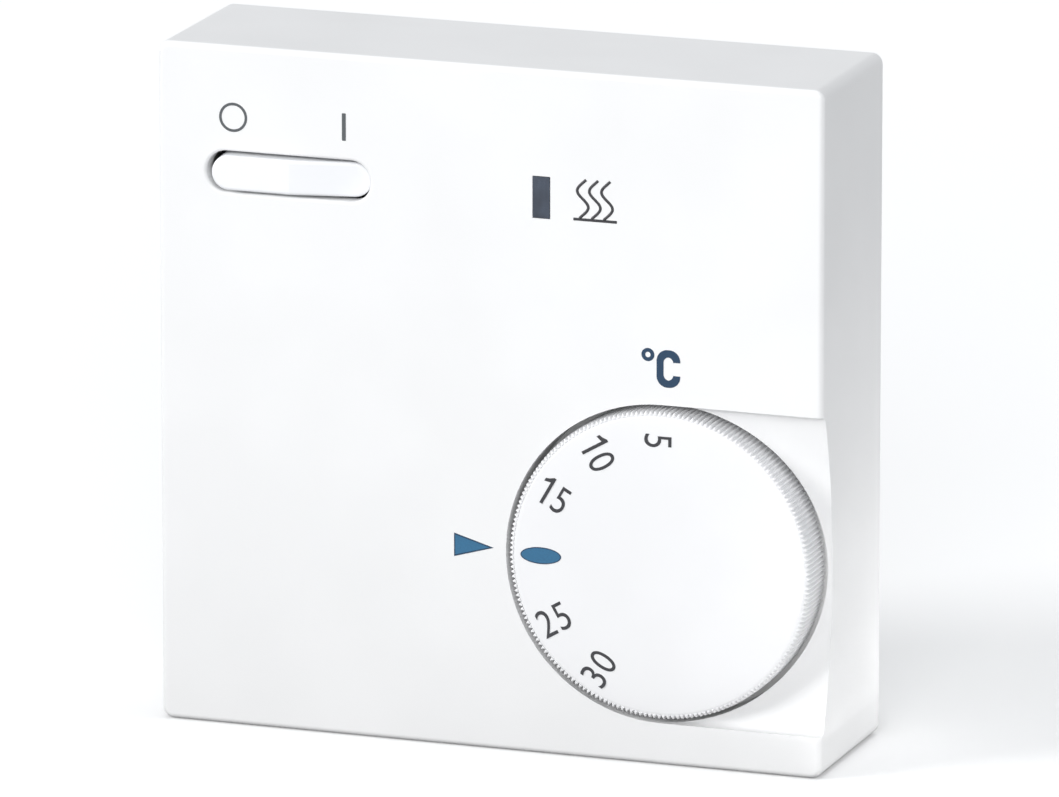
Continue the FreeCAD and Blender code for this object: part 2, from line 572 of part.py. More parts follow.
# ---------------------------------------------------------------- base plate
def make_base_plate():
    body = doc.addObject("PartDesign::Body", "BasePlate")
    outline = sketch(body, "base_outline")
    rectangle(outline, "caseWidth - 2 * baseInset", "caseHeight - 2 * baseInset")
    pad(body, "base_slab", outline, "baseStep")
    spigot = sketch(body, "spigot_outline", offset="baseStep")
    rectangle(spigot, spigot_width, spigot_height)
    pad(body, "spigot", spigot, "spigotHeight")
    dress(body, "Fillet", "base_corners", "cornerRound",
          lambda edge: runs_along(edge, vec(0, 1, 0)))
    inside = sketch(body, "base_inside", offset="baseStep + spigotHeight")
    rectangle(inside, "(" + spigot_width + ") - 2 * rimWall",
              "(" + spigot_height + ") - 2 * rimWall")
    pocket(body, "base_tray", inside, "baseStep + spigotHeight - baseFloor")

    # bosses that stand on the floor: name, place, radius, top, and any hole in each
    bosses = [("bearing", "dialX", "dialZ", "bearingRadius", "bearingTop",
               "journalRadius + journalGap", "bearingTop - journalBottom + boreEnd"),
              ("pivot", "pivotX", "pivotZ", "pivotBossRadius", "pivotBossTop",
               "pinRadius", "pivotBossTop - journalBottom"),
              ("cover_boss", "coverScrewX", "coverScrewZ", "coverBossRadius",
               well_underside + " - coverBossGap", "coverScrewRadius",
               "coverScrewLength")]
    bosses.append(("spring_peg", spring_peg_x, "pivotZ + springLeg - springPegRadius",
                   "springPegRadius", "springBottom + springPegOver", None, None))
    for index, (x, z) in enumerate(plate_posts, 1):
        bosses.append(("plate_post_%d" % index, x, z, "postRadius", "plateBottom",
                       "screwRadius", "postBore"))
    for index, (x, z) in enumerate(board_corners, 1):
        bosses.append(("board_post_%d" % index, x, z, "boardPostRadius", "boardBottom",
                       "screwRadius", "boardBottom - baseFloor"))
    for name, x, z, radius, top, bore, bore_depth in bosses:
        foot = sketch(body, name + "_outline", x=x, y=z, offset="baseFloor - lap")
        circle(foot, radius)
        pad(body, name, foot, "(%s) - baseFloor + lap" % top)
        if bore:
            mouth = sketch(body, name + "_bore_outline", x=x, y=z, offset=top)
            circle(mouth, bore)
            pocket(body, name + "_bore", mouth, bore_depth)

    # cable opening and the two slotted wall screw holes
    cable = sketch(body, "cable_outline", x="cableX", y="cableZ", offset="baseFloor + overcut")
    rectangle(cable, "cableWidth", "cableHeight")
    pocket(body, "cable_opening", cable, "baseFloor + 2 * overcut")
    relief = sketch(body, "cable_relief_outline", x="cableX", y="cableZ", offset="reliefDepth")
    rectangle(relief, "cableWidth + 2 * reliefMargin", "cableHeight + 2 * reliefMargin")
    pocket(body, "cable_relief", relief, "reliefDepth + overcut")
    ejector = sketch(body, "ejector_outline", x="ejectorX", y="ejectorZ", offset="ejectorDepth")
    circle(ejector, "ejectorRadius")
    first_mark = pocket(body, "ejector_mark", ejector, "ejectorDepth + overcut")
    mirror(body, "upper_marks", [first_mark], "YZ_Plane")
    low_ejector = sketch(body, "low_ejector_outline", x="ejectorX", y="-ejectorZ",
                         offset="ejectorDepth")
    circle(low_ejector, "ejectorRadius")
    low_mark = pocket(body, "low_ejector_mark", low_ejector, "ejectorDepth + overcut")
    mirror(body, "lower_marks", [low_mark], "YZ_Plane")
    slot = sketch(body, "wall_slot_outline", x="wallScrewSpacing / 2",
                  offset="baseFloor + overcut")
    obround(slot, "wallSlotLength", "wallSlotWidth")
    first_slot = pocket(body, "wall_slot", slot, "baseFloor + 2 * overcut")
    mirror(body, "wall_slots", [first_slot], "YZ_Plane")

    # air notches in the upper and lower rim, and windows for the cover's hooks
    notch = sketch(body, "notch_outline", x="-notchPitch * (notchCount - 1) / 2",
                   y="caseHeight / 2 - baseInset - notchInset",
                   offset="baseStep + spigotHeight + overcut")
    rectangle(notch, "notchWidth", "notchHeight")
    first_notch = pocket(body, "notch", notch, "baseStep + spigotHeight + overcut - notchFloor")
    repeat(body, "upper_notches", [first_notch], notch, "H_Axis",
           "notchPitch * (notchCount - 1)", "notchCount")
    low_notch = sketch(body, "low_notch_outline", x="-notchPitch * (notchCount - 1) / 2",
                       y="-(caseHeight / 2 - baseInset - notchInset)",
                       offset="baseStep + spigotHeight + overcut")
    rectangle(low_notch, "notchWidth", "notchHeight")
    first_low = pocket(body, "low_notch", low_notch,
                       "baseStep + spigotHeight + overcut - notchFloor")
    repeat(body, "lower_notches", [first_low], low_notch, "H_Axis",
           "notchPitch * (notchCount - 1)", "notchCount")
    hook = sketch(body, "hook_window_outline", "XY_Plane", x="hookX",
                  y="-(hookDepth + hookThick / 2)", offset="caseHeight / 2")
    rectangle(hook, "hookWidth + 2 * hookGap", "hookThick + 2 * hookGap")
    first_hook = pocket(body, "hook_window", hook, "coverWall + spigotGap + rimWall + overcut")
    mirror(body, "hook_windows", [first_hook], "YZ_Plane")
    return node(body, "base_plate")


# ---------------------------------------------------------------- dial, spindle, cam, limits
def make_dial():
    cup = doc.addObject("PartDesign::Body", "DialCup")
    rear = "frontDepth - wellDepth + dialFloorGap"
    front = "frontDepth + dialProud"
    dial = {"x": "dialX", "y": "dialZ"}
    core_radius = "dialRadius - knurlDepth - lap"
    disc = sketch(cup, "dial_outline", offset=rear, **dial)
    circle(disc, core_radius)
    pad(cup, "dial_disc", disc, "(%s) - (%s)" % (front, rear))
    hollow = sketch(cup, "dial_hollow_outline", offset=front + " - dialFace", **dial)
    circle(hollow, "dialRadius - dialRim")
    pocket(cup, "dial_hollow", hollow, "(%s) - dialFace - (%s) + overcut" % (front, rear))
    hub = sketch(cup, "hub_outline", offset=rear, **dial)
    circle(hub, "hubRadius")
    pad(cup, "hub", hub, "(%s) - dialFace - (%s) + lap" % (front, rear))
    bore = sketch(cup, "hub_bore_outline", offset=front + " - dialFace", **dial)
    circle(bore, "spindleRadius")
    pocket(cup, "hub_bore", bore, "(%s) - dialFace - (%s) + overcut" % (front, rear))

    # finely toothed rim: a ring of V grooves, chamfered at the front by its own cone
    count = int(read("knurlCount"))
    tip = read("dialRadius")
    root = tip - read("knurlDepth")
    low = read("frontDepth") - read("wellDepth") + read("dialFloorGap")
    high = read("frontDepth") + read("dialProud")
    points = []
    for index in range(2 * count):
        radius = tip if index % 2 == 0 else root
        angle = math.pi * index / count
        points.append(vec(radius * math.cos(angle), -low, radius * math.sin(angle)))
    rim_wire = Part.makePolygon(points + [points[0]])
    rim = Part.Face(rim_wire).extrude(vec(0, low - high, 0))
    past = read("overcut")
    inner = Part.makeCylinder(tip - read("dialRim") + read("lap"), high - low + 2 * past,
                              vec(0, past - low, 0), vec(0, -1, 0))
    edge = read("dialEdge")
    shaped = Part.makeCylinder(tip + past, high - low - edge, vec(0, -low, 0), vec(0, -1, 0))
    crown = Part.makeCone(tip + 1e-3, tip - edge, edge, vec(0, edge - high, 0), vec(0, -1, 0))
    knurl = doc.addObject("Part::Feature", "KnurlRing")
    knurl.Shape = rim.cut(inner).common(shaped.fuse(crown))
    knurl.Placement.Base = vec(read("dialX"), 0, read("dialZ"))
    return node(join("SettingDial", cup, knurl), "setting_dial")


def make_spindle():
    """A turned pin: journal, thrust collar, cam seat, upper journal with a clip groove."""
    steps = [("journalBottom", "journalRadius", "bearingTop + thrustGap"),
             ("bearingTop + thrustGap", "collarRadius", "bearingTop + thrustGap + collarThick"),
             ("bearingTop + thrustGap + collarThick", "camSeatRadius",
              "camBottom + camThick + thrustGap"),
             ("camBottom + camThick + thrustGap", "spindleRadius", clip_bottom),
             (clip_bottom, "clipGrooveRadius", clip_bottom + " + clipThick"),
             (clip_bottom + " + clipThick", "spindleRadius",
              "frontDepth + dialProud - dialFace - spindleEnd")]
    parts = []
    for index, (low, radius, high) in enumerate(steps):
        parts.append(rod("spindle_step_%d" % index, "dialX", "dialZ", low, radius,
                         "(%s) - (%s)" % (high, low)))
    return node(join("DialSpindle", *parts), "dial_spindle")


def make_cam():
    """A snail cam whose radius grows evenly with the turn of the dial."""
    arm = read("dialZ") - read("pivotZ")
    rise = arm * read("leverRatio") * math.pi / 180
    low = read("camBottom")
    base = read("camRadius")
    first = 180 - read("turnToCold") - read("camRunOut")
    last = 180 + read("turnToWarm") + read("camRunOut")
    steps = 34
    edges = []
    spiral = []
    for index in range(steps + 1):
        angle = first + (last - first) * index / steps
        radius = base + rise * (180 - angle)
        turn = math.radians(angle)
        spiral.append(vec(radius * math.cos(turn), -low, radius * math.sin(turn)))
    curve = Part.BSplineCurve()
    curve.interpolate(spiral)
    edges.append(curve.toShape())
    inner = base + rise * (180 - last)
    middle = math.radians((last + first + 360) / 2)
    closing = math.radians(first)
    dwell_end = vec(inner * math.cos(closing), -low, inner * math.sin(closing))
    dwell_middle = vec(inner * math.cos(middle), -low, inner * math.sin(middle))
    edges.append(Part.Arc(spiral[-1], dwell_middle, dwell_end).toShape())
    edges.append(Part.LineSegment(dwell_end, spiral[0]).toShape())
    disc = Part.Face(Part.Wire(edges)).extrude(vec(0, -read("camThick"), 0))
    past = read("overcut")
    bore = Part.makeCylinder(read("camSeatRadius"), read("camThick") + 2 * past,
                             vec(0, past - low, 0), vec(0, -1, 0))
    cam = doc.addObject("Part::Feature", "SettingCam")
    cam.Shape = disc.cut(bore)
    cam.Placement.Base = vec(read("dialX"), 0, read("dialZ"))
    return node(cam, "setting_cam")


def make_limit_ring(label, outer, low, angle):
    """A flat ring under the dial's face, with one tab that reaches back to the peg."""
    ring = cut(label + "_ring",
               rod(label + "_disc", "dialX", "dialZ", low, outer, "ringThick"),
               rod(label + "_hole", "dialX", "dialZ", low + " - overcut", "ringInner",
                   "ringThick + 2 * overcut"))
    tab = doc.addObject("Part::Box", label + "_tab")
    tab.Placement.Rotation = FreeCAD.Rotation(vec(0, 1, 0), -90)
    inner = "((%s) - tabLength)" % outer
    along = "cos((%s) * 1 deg)" % angle
    across = "sin((%s) * 1 deg)" % angle
    bind(tab, {
        "Length": "tabLength", "Height": "tabWidth",
        "Width": "(%s) + lap - frontDepth + wellDepth - tabFloorGap" % low,
        "Placement.Rotation.Angle": "-(%s)" % angle,
        "Placement.Base.x": "dialX + %s * %s + tabWidth / 2 * %s" % (inner, along, across),
        "Placement.Base.y": "-(%s) - lap" % low,
        "Placement.Base.z": "dialZ + %s * %s - tabWidth / 2 * %s" % (inner, across, along)})
    return node(join(label, ring, tab), label)


def make_limit_rings():
    under_face = "frontDepth + dialProud - dialFace"
    margin = "(asin((pegWidth + tabWidth) / 2 / (%s - tabLength)) / 1 deg + stopSlack)"
    make_limit_ring("min_limit_ring", min_ring_radius, under_face + " - ringThick",
                    "90 - turnToCold - " + margin % min_ring_radius)
    make_limit_ring("max_limit_ring", max_ring_radius, under_face + " - 2 * ringThick",
                    "90 + turnToWarm + " + margin % max_ring_radius)


def make_spindle_clip():
    disc = rod("clip_disc", "dialX", "dialZ", clip_bottom, "clipRadius", "clipThick")
    hole = rod("clip_hole", "dialX", "dialZ", clip_bottom + " - overcut",
               "clipGrooveRadius", "clipThick + 2 * overcut")
    gap = block("clip_gap", "dialX - clipRadius", "dialZ", clip_bottom + " - overcut",
                "2 * clipRadius", "1.5 * clipGrooveRadius", "clipThick + 2 * overcut")
    return node(cut("SpindleClip", disc, hole, gap), "spindle_clip")


def make_bush():
    body = rod("bush_body", "dialX", "dialZ", "plateBottom", "bushRadius", "plateThick")
    flange = rod("bush_flange", "dialX", "dialZ", plate_top, "bushFlangeRadius",
                 "bushFlange")
    bore = rod("bush_bore", "dialX", "dialZ", "plateBottom - overcut",
               "spindleRadius + journalGap", "plateThick + bushFlange + 2 * overcut")
    return node(cut("SpindleBush", join("bush_blank", body, flange), bore), "spindle_bush")


# ---------------------------------------------------------------- mechanism plate and screws
def make_mechanism_plate():
    body = doc.addObject("PartDesign::Body", "MechanismPlate")
    outline = sketch(body, "plate_outline", x="plateX", y="plateZ", offset="plateBottom")
    rectangle(outline, "plateWidth", "plateHeight")
    pad(body, "plate_sheet", outline, "plateThick")
    dress(body, "Fillet", "plate_corners", "postRadius",
          lambda edge: runs_along(edge, vec(0, 1, 0)))
    holes = [("bush_hole", "dialX", "dialZ", "bushRadius"),
             ("pin_hole", "pivotX", "pivotZ", "pinRadius"),
             ("boss_hole", "coverScrewX", "coverScrewZ", "coverBossRadius + bossHoleGap")]
    for index, (x, z) in enumerate(plate_posts, 1):
        holes.append(("screw_hole_%d" % index, x, z, "screwRadius + screwHoleGap"))
    for name, x, z, radius in holes:
        mouth = sketch(body, name + "_outline", x=x, y=z, offset=plate_top)
        circle(mouth, radius)
        pocket(body, name, mouth, "plateThick + overcut")
    return node(body, "mechanism_plate")


def slotted_screw(name, x, z, seat, radius, length, head_radius, head):
    """A screw from the front: its head sits at depth seat, its shank runs to the wall."""
    shank = rod(name + "_shank", x, z, "(%s) - (%s)" % (seat, length), radius,
                "(%s) + lap" % length)
    top = rod(name + "_head", x, z, seat, head_radius, head)
    slot = block(name + "_slot", x, z, "(%s) + (%s) / 2" % (seat, head),
                 "2 * (%s) + overcut" % head_radius, "screwSlot", head)
    return cut(name, join(name + "_blank", shank, top), slot)


def make_screws():
    plate = [slotted_screw("plate_screw_%d" % index, x, z, plate_top, "screwRadius",
                           "plateThick + postScrewReach", "screwHeadRadius", "screwHead")
             for index, (x, z) in enumerate(plate_posts, 1)]
    node(group("MechanismScrews", plate), "mechanism_screws")
    board = [slotted_screw("board_screw_%d" % index, x, z, board_top, "screwRadius",
                           "boardThick + boardScrewReach", "screwHeadRadius", "screwHead")
             for index, (x, z) in enumerate(board_corners[:2], 1)]
    node(group("BoardScrews", board), "board_screws")

    low = well_bottom + " - coverScrewLength"
    shank = rod("cover_screw_shank", "coverScrewX", "coverScrewZ", low,
                "coverScrewRadius", "coverScrewLength - lap")
    cone = "coverScrewHead - coverScrewRadius"
    head = taper("cover_screw_head", "coverScrewX", "coverScrewZ",
                 "%s - (%s)" % (well_bottom, cone), "coverScrewRadius",
                 "coverScrewHead", cone)
    slot = block("cover_screw_slot", "coverScrewX", "coverScrewZ",
                 well_bottom + " - coverScrewSlot", "2 * coverScrewHead + overcut",
                 "screwSlot", "coverScrewSlot + overcut")
    node(cut("CoverScrew", join("cover_screw_blank", shank, head), slot), "cover_screw")


# ---------------------------------------------------------------- lever and bimetal strip
def make_lever():
    hub_low = "pivotBossTop + sideGap"
    hub = rod("lever_hub", "pivotX", "pivotZ", hub_low, "pivotHub",
              "plateBottom - sideGap - (%s)" % hub_low)
    bar = block("lever_bar", "pivotX", "(pivotZ + stripRootZ) / 2", "camBottom",
                "leverWidth", "stripRootZ - pivotZ + lap", "camThick")
    clamp = block("lever_clamp", "pivotX", "(stripRootZ + clampTopZ) / 2", "stripBottom",
                  "leverWidth", "clampTopZ - stripRootZ", "stripWidth")
    tip_x = "dialX - camRadius - noseGap - noseRadius"
    nose = block("lever_nose", "(pivotX + %s) / 2" % tip_x, "dialZ", "camBottom",
                 tip_x + " - pivotX", "2 * noseRadius", "camThick")
    tip = rod("lever_nose_tip", tip_x, "dialZ", "camBottom", "noseRadius", "camThick")
    bore = rod("lever_bore", "pivotX", "pivotZ", hub_low + " - overcut",
               "pinRadius + pinGap", "plateBottom - pivotBossTop + 2 * overcut")
    rivets = [rod_along_x("rivet_hole_%d" % index, "pivotX - leverWidth", z,
                          "pusherDepth", "rivetRadius", "2 * leverWidth")
              for index, z in enumerate(rivet_places, 1)]
    blank = join("lever_blank", hub, bar, clamp, nose, tip)
    return node(cut("SettingLever", blank, bore, *rivets), "setting_lever")


def make_bimetal():
    strip = block("strip_blank", strip_x + " + stripThick / 2",
                  "(stripRootZ + stripTopZ) / 2", "stripBottom", "stripThick",
                  "stripTopZ - stripRootZ", "stripWidth")
    holes = [rod_along_x("strip_hole_%d" % index, strip_x + " - overcut", z,
                         "pusherDepth", "rivetRadius", "stripThick + 2 * overcut")
             for index, z in enumerate(rivet_places + ["pusherZ"], 1)]
    node(cut("BimetalStrip", strip, *holes), "bimetal_strip")

    rivets = []
    for index, z in enumerate(rivet_places, 1):
        left = "pivotX - leverWidth / 2 - rivetHeadThick"
        grip = "leverWidth + stripThick"
        shank = rod_along_x("rivet_%d_shank" % index, left, z, "pusherDepth",
                            "rivetRadius", grip + " + 2 * rivetHeadThick")
        heads = [rod_along_x("rivet_%d_head_%d" % (index, side), start, z, "pusherDepth",
                             "rivetHead", "rivetHeadThick")
                 for side, start in enumerate([left, "pivotX + leverWidth / 2 + stripThick"])]
        rivets.append(join("rivet_%d" % index, shank, *heads))
    node(group("BimetalRivets", rivets), "bimetal_rivets")

    # calibration screw through the strip's end, in its nut, with an insulating tip
    nut_x = strip_x + " + stripThick"
    nut = rod_along_x("nut_blank", nut_x, "pusherZ", "pusherDepth", "nutRadius", "nutThick")
    nut_hole = rod_along_x("nut_hole", nut_x + " - overcut", "pusherZ", "pusherDepth",
                           "rivetRadius", "nutThick + 2 * overcut")
    node(cut("CalibrationNut", nut, nut_hole), "calibration_nut")
    start = strip_x + " - calibrationReach"
    shank = rod_along_x("calibration_shank", start, "pusherZ", "pusherDepth",
                        "rivetRadius", "calibrationLength")
    head = rod_along_x("calibration_head", start, "pusherZ", "pusherDepth",
                       "calibrationHead", "calibrationHeadThick")
    slot = block("calibration_slot", start, "pusherZ", "pusherDepth - calibrationHead - overcut",
                 "2 * calibrationSlotDepth", "calibrationSlot",
                 "2 * (calibrationHead + overcut)")
    node(cut("CalibrationScrew", join("calibration_blank", shank, head), slot),
         "calibration_screw")
    cap = rod_along_x("pusher_cap", strip_x + " + pusherStart", "pusherZ", "pusherDepth",
                      "pusherRadius", "pusherLength")
    socket = rod_along_x("pusher_socket", strip_x + " + pusherStart", "pusherZ",
                         "pusherDepth", "rivetRadius", "pusherSocket")
    node(cut("PusherTip", cap, socket), "pusher_tip")


def make_lever_pin_and_spring():
    pin = rod("LeverPin", "pivotX", "pivotZ", "journalBottom", "pinRadius",
              plate_top + " - journalBottom")
    node(pin, "lever_pin")

    # coil round the boss: one leg bears on its peg, the other on the lever's bar
    radius = read("springRadius")
    wire = read("springWire") / 2
    pitch = read("springPitch")
    height = pitch * read("springTurns")
    coil = coil_spring(pitch, height, radius, wire, True)
    start = vec(radius, 0, 0)
    end = vec(-radius, 0, height)
    bend = vec(-read("leverWidth") / 2 - read("springGap") - wire, read("springReach"), height)
    first = Part.makeCylinder(wire, read("springLeg"), start, vec(0, 1, 0))
    second = Part.makeCylinder(wire, (bend - end).Length, end, bend - end)
    third = Part.makeCylinder(wire, read("springLegTop") - read("springBottom") - height,
                              bend, vec(0, 0, 1))
    elbows = [Part.makeSphere(wire, place) for place in (start, end, bend)]
    spring = doc.addObject("Part::Feature", "LeverSpring")
    spring.Shape = coil.fuse([first, second, third] + elbows)
    spring.Placement = FreeCAD.Placement(
        vec(read("pivotX"), -read("springBottom"), read("pivotZ")),
        FreeCAD.Rotation(vec(1, 0, 0), 90))
    node(spring, "lever_spring")


def coil_spring(pitch, height, radius, wire, left_hand=False):
    """A round wire wound about the Z axis, from the XY plane upwards."""
    helix = Part.makeLongHelix(pitch, height, radius, 0, left_hand)
    start = vec(radius, 0, 0)
    slope = pitch / (2 * math.pi * radius)
    along = vec(0, -1, slope) if left_hand else vec(0, 1, slope)
    profile = Part.Wire([Part.makeCircle(wire, start, along)])
    return Part.Wire(helix.Edges).makePipeShell([profile], True, True)


# ---------------------------------------------------------------- board and snap contact
def make_board():
    sheet_piece = block("board_sheet", "boardX", "boardZ", "boardBottom", "boardWidth",
                        "boardHeight", "boardThick")
    holes = [rod("board_hole_%d" % index, x, z, "boardBottom - overcut",
                 "screwRadius + screwHoleGap", "boardThick + 2 * overcut")
             for index, (x, z) in enumerate(board_corners[:2], 1)]
    node(cut("CircuitBoard", sheet_piece, *holes), "circuit_board")


def make_snap_contact():
    low = board_top
    arm_low = "(%s) + bracketThick + armGap" % low
    arm_high = "(%s) + armWidth + 2 * knuckleRim" % arm_low
    ear_low = "(%s) + armGap" % arm_high
    rise = "%s + bracketThick - (%s)" % (ear_low, low)
    foot = block("bracket_foot", "armX", "armZ - bracketShift", low, "bracketWidth",
                 "bracketReach", "bracketThick")
    back = block("bracket_back", "armX",
                 "armZ - bracketShift - (bracketReach - bracketThick) / 2", low,
                 "bracketWidth", "bracketThick", rise)
    ear = block("bracket_ear", "armX", "armZ - bracketShift", ear_low, "bracketWidth",
                "bracketReach", "bracketThick")
    hole = rod("bracket_hole", "armX", "armZ", low + " - overcut", "armPin",
               rise + " + 2 * overcut")
    node(cut("ArmBracket", join("bracket_blank", foot, back, ear), hole), "arm_bracket")
    node(rod("ArmPin", "armX", "armZ", low, "armPin", rise), "arm_pin")

    knuckle = rod("arm_knuckle", "armX", "armZ", arm_low, "armKnuckle",
                  "armWidth + 2 * knuckleRim")
    blade = block("arm_blade", "armX", "(armZ + armTopZ) / 2",
                  "(%s) + knuckleRim" % arm_low, "armThick", "armTopZ - armZ", "armWidth")
    bore = rod("arm_bore", "armX", "armZ", "(%s) - overcut" % arm_low, "armPin + pinGap",
               "armWidth + 2 * knuckleRim + 2 * overcut")
    node(cut("ContactArm", join("arm_blank", knuckle, blade), bore), "contact_arm")

    depth = "(%s) + knuckleRim + armWidth / 2" % arm_low
    node(rod_along_x("MovingContact", "armX + armThick / 2", "contactZ", depth,
                     "buttonRadius", "buttonThick"), "moving_contact")
    face = "armX + armThick / 2 + buttonThick + contactGap"
    node(rod_along_x("FixedContact", face, "contactZ", depth,
                     "buttonRadius + fixedButtonOver", "buttonThick"), "fixed_contact")
    post_low = "(magnetZ - magnetHeight / 2 - magnetMargin)"
    post_high = "(armTopZ + postOver)"
    node(block("ContactPost", face + " + buttonThick + postThick / 2",
               "(%s + %s) / 2" % (post_low, post_high), low, "postThick",
               "%s - %s" % (post_high, post_low), "%s + postRise - (%s)" % (depth, low)),
         "contact_post")
    node(block("SnapMagnet", face + " + buttonThick - magnetThick / 2", "magnetZ",
               depth + " - magnetWidth / 2", "magnetThick", "magnetHeight",
               "magnetWidth"), "snap_magnet")


# ---------------------------------------------------------------- lamp and resistors
def make_lamp():
    stem = block("lens_stem", "lampX", "lampZ", cover_face_inside + " - lap", "lensWidth",
                 "lensHeight", "coverFace + lap + lensSunk")
    flange = block("lens_flange", "lampX", "lampZ", cover_face_inside + " - lensFlange",
                   "lensWidth + 2 * lensFlangeEdge", "lensHeight + 2 * lensFlangeEdge",
                   "lensFlange")
    node(join("LampLens", stem, flange), "lamp_lens")

    low = board_top
    bottom = "(%s) + bulbStand" % low
    glass = rod("bulb_glass", "lampX", "lampZ", bottom, "bulbRadius",
                "bulbLength - bulbRadius")
    tip = doc.addObject("Part::Sphere", "bulb_tip")
    bind(tip, {"Radius": "bulbRadius", "Placement.Base.x": "lampX",
               "Placement.Base.y": "-((%s) + bulbLength - bulbRadius)" % bottom,
               "Placement.Base.z": "lampZ"})
    leads = [rod("bulb_lead_%d" % side, "lampX + %d * bulbRadius / 2" % side, "lampZ", low,
                 "leadRadius", "bulbStand + lap") for side in (-1, 1)]
    node(join("LampBulb", glass, tip, *leads), "lamp_bulb")


def make_resistor(name, label, x, z):
    """An axial resistor above the board, lying along X on its two bent leads."""
    axis = "(%s) + resistorStand + resistorRadius" % board_top
    body = rod_along_x(name + "_body", "%s - resistorLength / 2" % x, z, axis,
                       "resistorRadius", "resistorLength")
    span = "(resistorLength / 2 + leadReach)"
    wire = rod_along_x(name + "_wire", "%s - %s" % (x, span), z, axis, "leadRadius",
                       "2 * %s" % span)
    legs = [rod("%s_leg_%d" % (name, side), "%s + %d * (%s - leadRadius)" % (x, side, span),
                z, board_top, "leadRadius",
                "resistorStand + resistorRadius + leadRadius")
            for side in (-1, 1)]
    return node(join(name, body, wire, *legs), label)


# ---------------------------------------------------------------- rocker switch
def make_rocker():
    """Modelled about its own pivot, level, then tipped so that its right end is in."""
    body = doc.addObject("PartDesign::Body", "SwitchRocker")
    outline = sketch(body, "rocker_outline", offset="-rockerSkirt")
    obround(outline, "rockerLength", "rockerHeight")
    pad(body, "rocker_block", outline, "rockerSkirt + rockerPivot + rockerProud + overcut")

    # two sloping faces that meet in a ridge over the pivot
    faces = sketch(body, "rocker_faces", "XY_Plane")
    reach = sizes["rockerLength"] / 2 + 1
    ridge = (sizes["rockerPivot"] + sizes["rockerProud"]) / math.cos(
        math.radians(sizes["rockerTilt"]))
    drop = reach * math.tan(math.radians(sizes["rockerTilt"]))
    ahead = ridge + 3
    right, front, left, left_slope, right_slope = closed_lines(faces, [
        vec(reach, drop - ridge, 0), vec(reach, -ahead, 0), vec(-reach, -ahead, 0),
        vec(-reach, drop - ridge, 0), vec(0, -ridge, 0)])
    for line in (right, left):
        faces.addConstraint(Sketcher.Constraint("Vertical", line))
    faces.addConstraint(Sketcher.Constraint("Horizontal", front))
    faces.addConstraint(Sketcher.Constraint("PointOnObject", left_slope, 2, -2))
    ridge_text = "(rockerPivot + rockerProud) / cos(rockerTilt * 1 deg)"
    dimension(faces, "DistanceY", (left_slope, 2, -1, 1), ridge_text)
    dimension(faces, "DistanceY", (front, 1, -1, 1), ridge_text + " + 3")
    for near_end, corner in (((left, 2), (-1, 1)), ((-1, 1), (right, 1))):
        dimension(faces, "DistanceX", near_end + corner, "rockerLength / 2 + 1")
    rise = "(rockerLength / 2 + 1) * tan(rockerTilt * 1 deg)"
    dimension(faces, "DistanceY", (left_slope, 2, left, 2), rise)
    dimension(faces, "DistanceY", (right_slope, 1, right, 1), rise)
    pocket(body, "rocker_slopes", faces, "2 * rockerHeight", both=True)
    ridge_depth = sizes["rockerPivot"]
    dress(body, "Fillet", "rocker_rim", "rockerRound",
          lambda edge: edge.BoundBox.YMax < 1.0 - ridge_depth
          and not runs_along(edge, vec(0, 1, 0)) and not runs_along(edge, vec(0, 0, 1)))

    tube = sketch(body, "tube_outline", offset="-rockerSkirt - tubeLength")
    circle(tube, "tubeRadius")
    pad(body, "plunger_tube", tube, "tubeLength + lap")
    bore = sketch(body, "tube_bore_outline", offset="-rockerSkirt - tubeLength")
    circle(bore, "tubeBore")
    pocket(body, "tube_bore", bore, "tubeLength + rockerSkirt", back=True)
    trunnion = sketch(body, "trunnion_outline", "XY_Plane",
                      offset="rockerHeight / 2 - lap")
    circle(trunnion, "trunnionRadius")
    first = pad(body, "trunnion", trunnion, "trunnionReach - rockerHeight / 2 + lap")
    mirror(body, "trunnions", [first], "XY_Plane")
    tip_with_rocker(body)
    return node(body, "switch_rocker")


def tip_with_rocker(piece):
    piece.Placement.Rotation = FreeCAD.Rotation(vec(0, 0, 1), 6)
    bind(piece, {"Placement.Base.x": rocker_x, "Placement.Base.y": "-(%s)" % rocker_axis,
                 "Placement.Base.z": "rockerZ", "Placement.Rotation.Angle": "rockerTilt"})


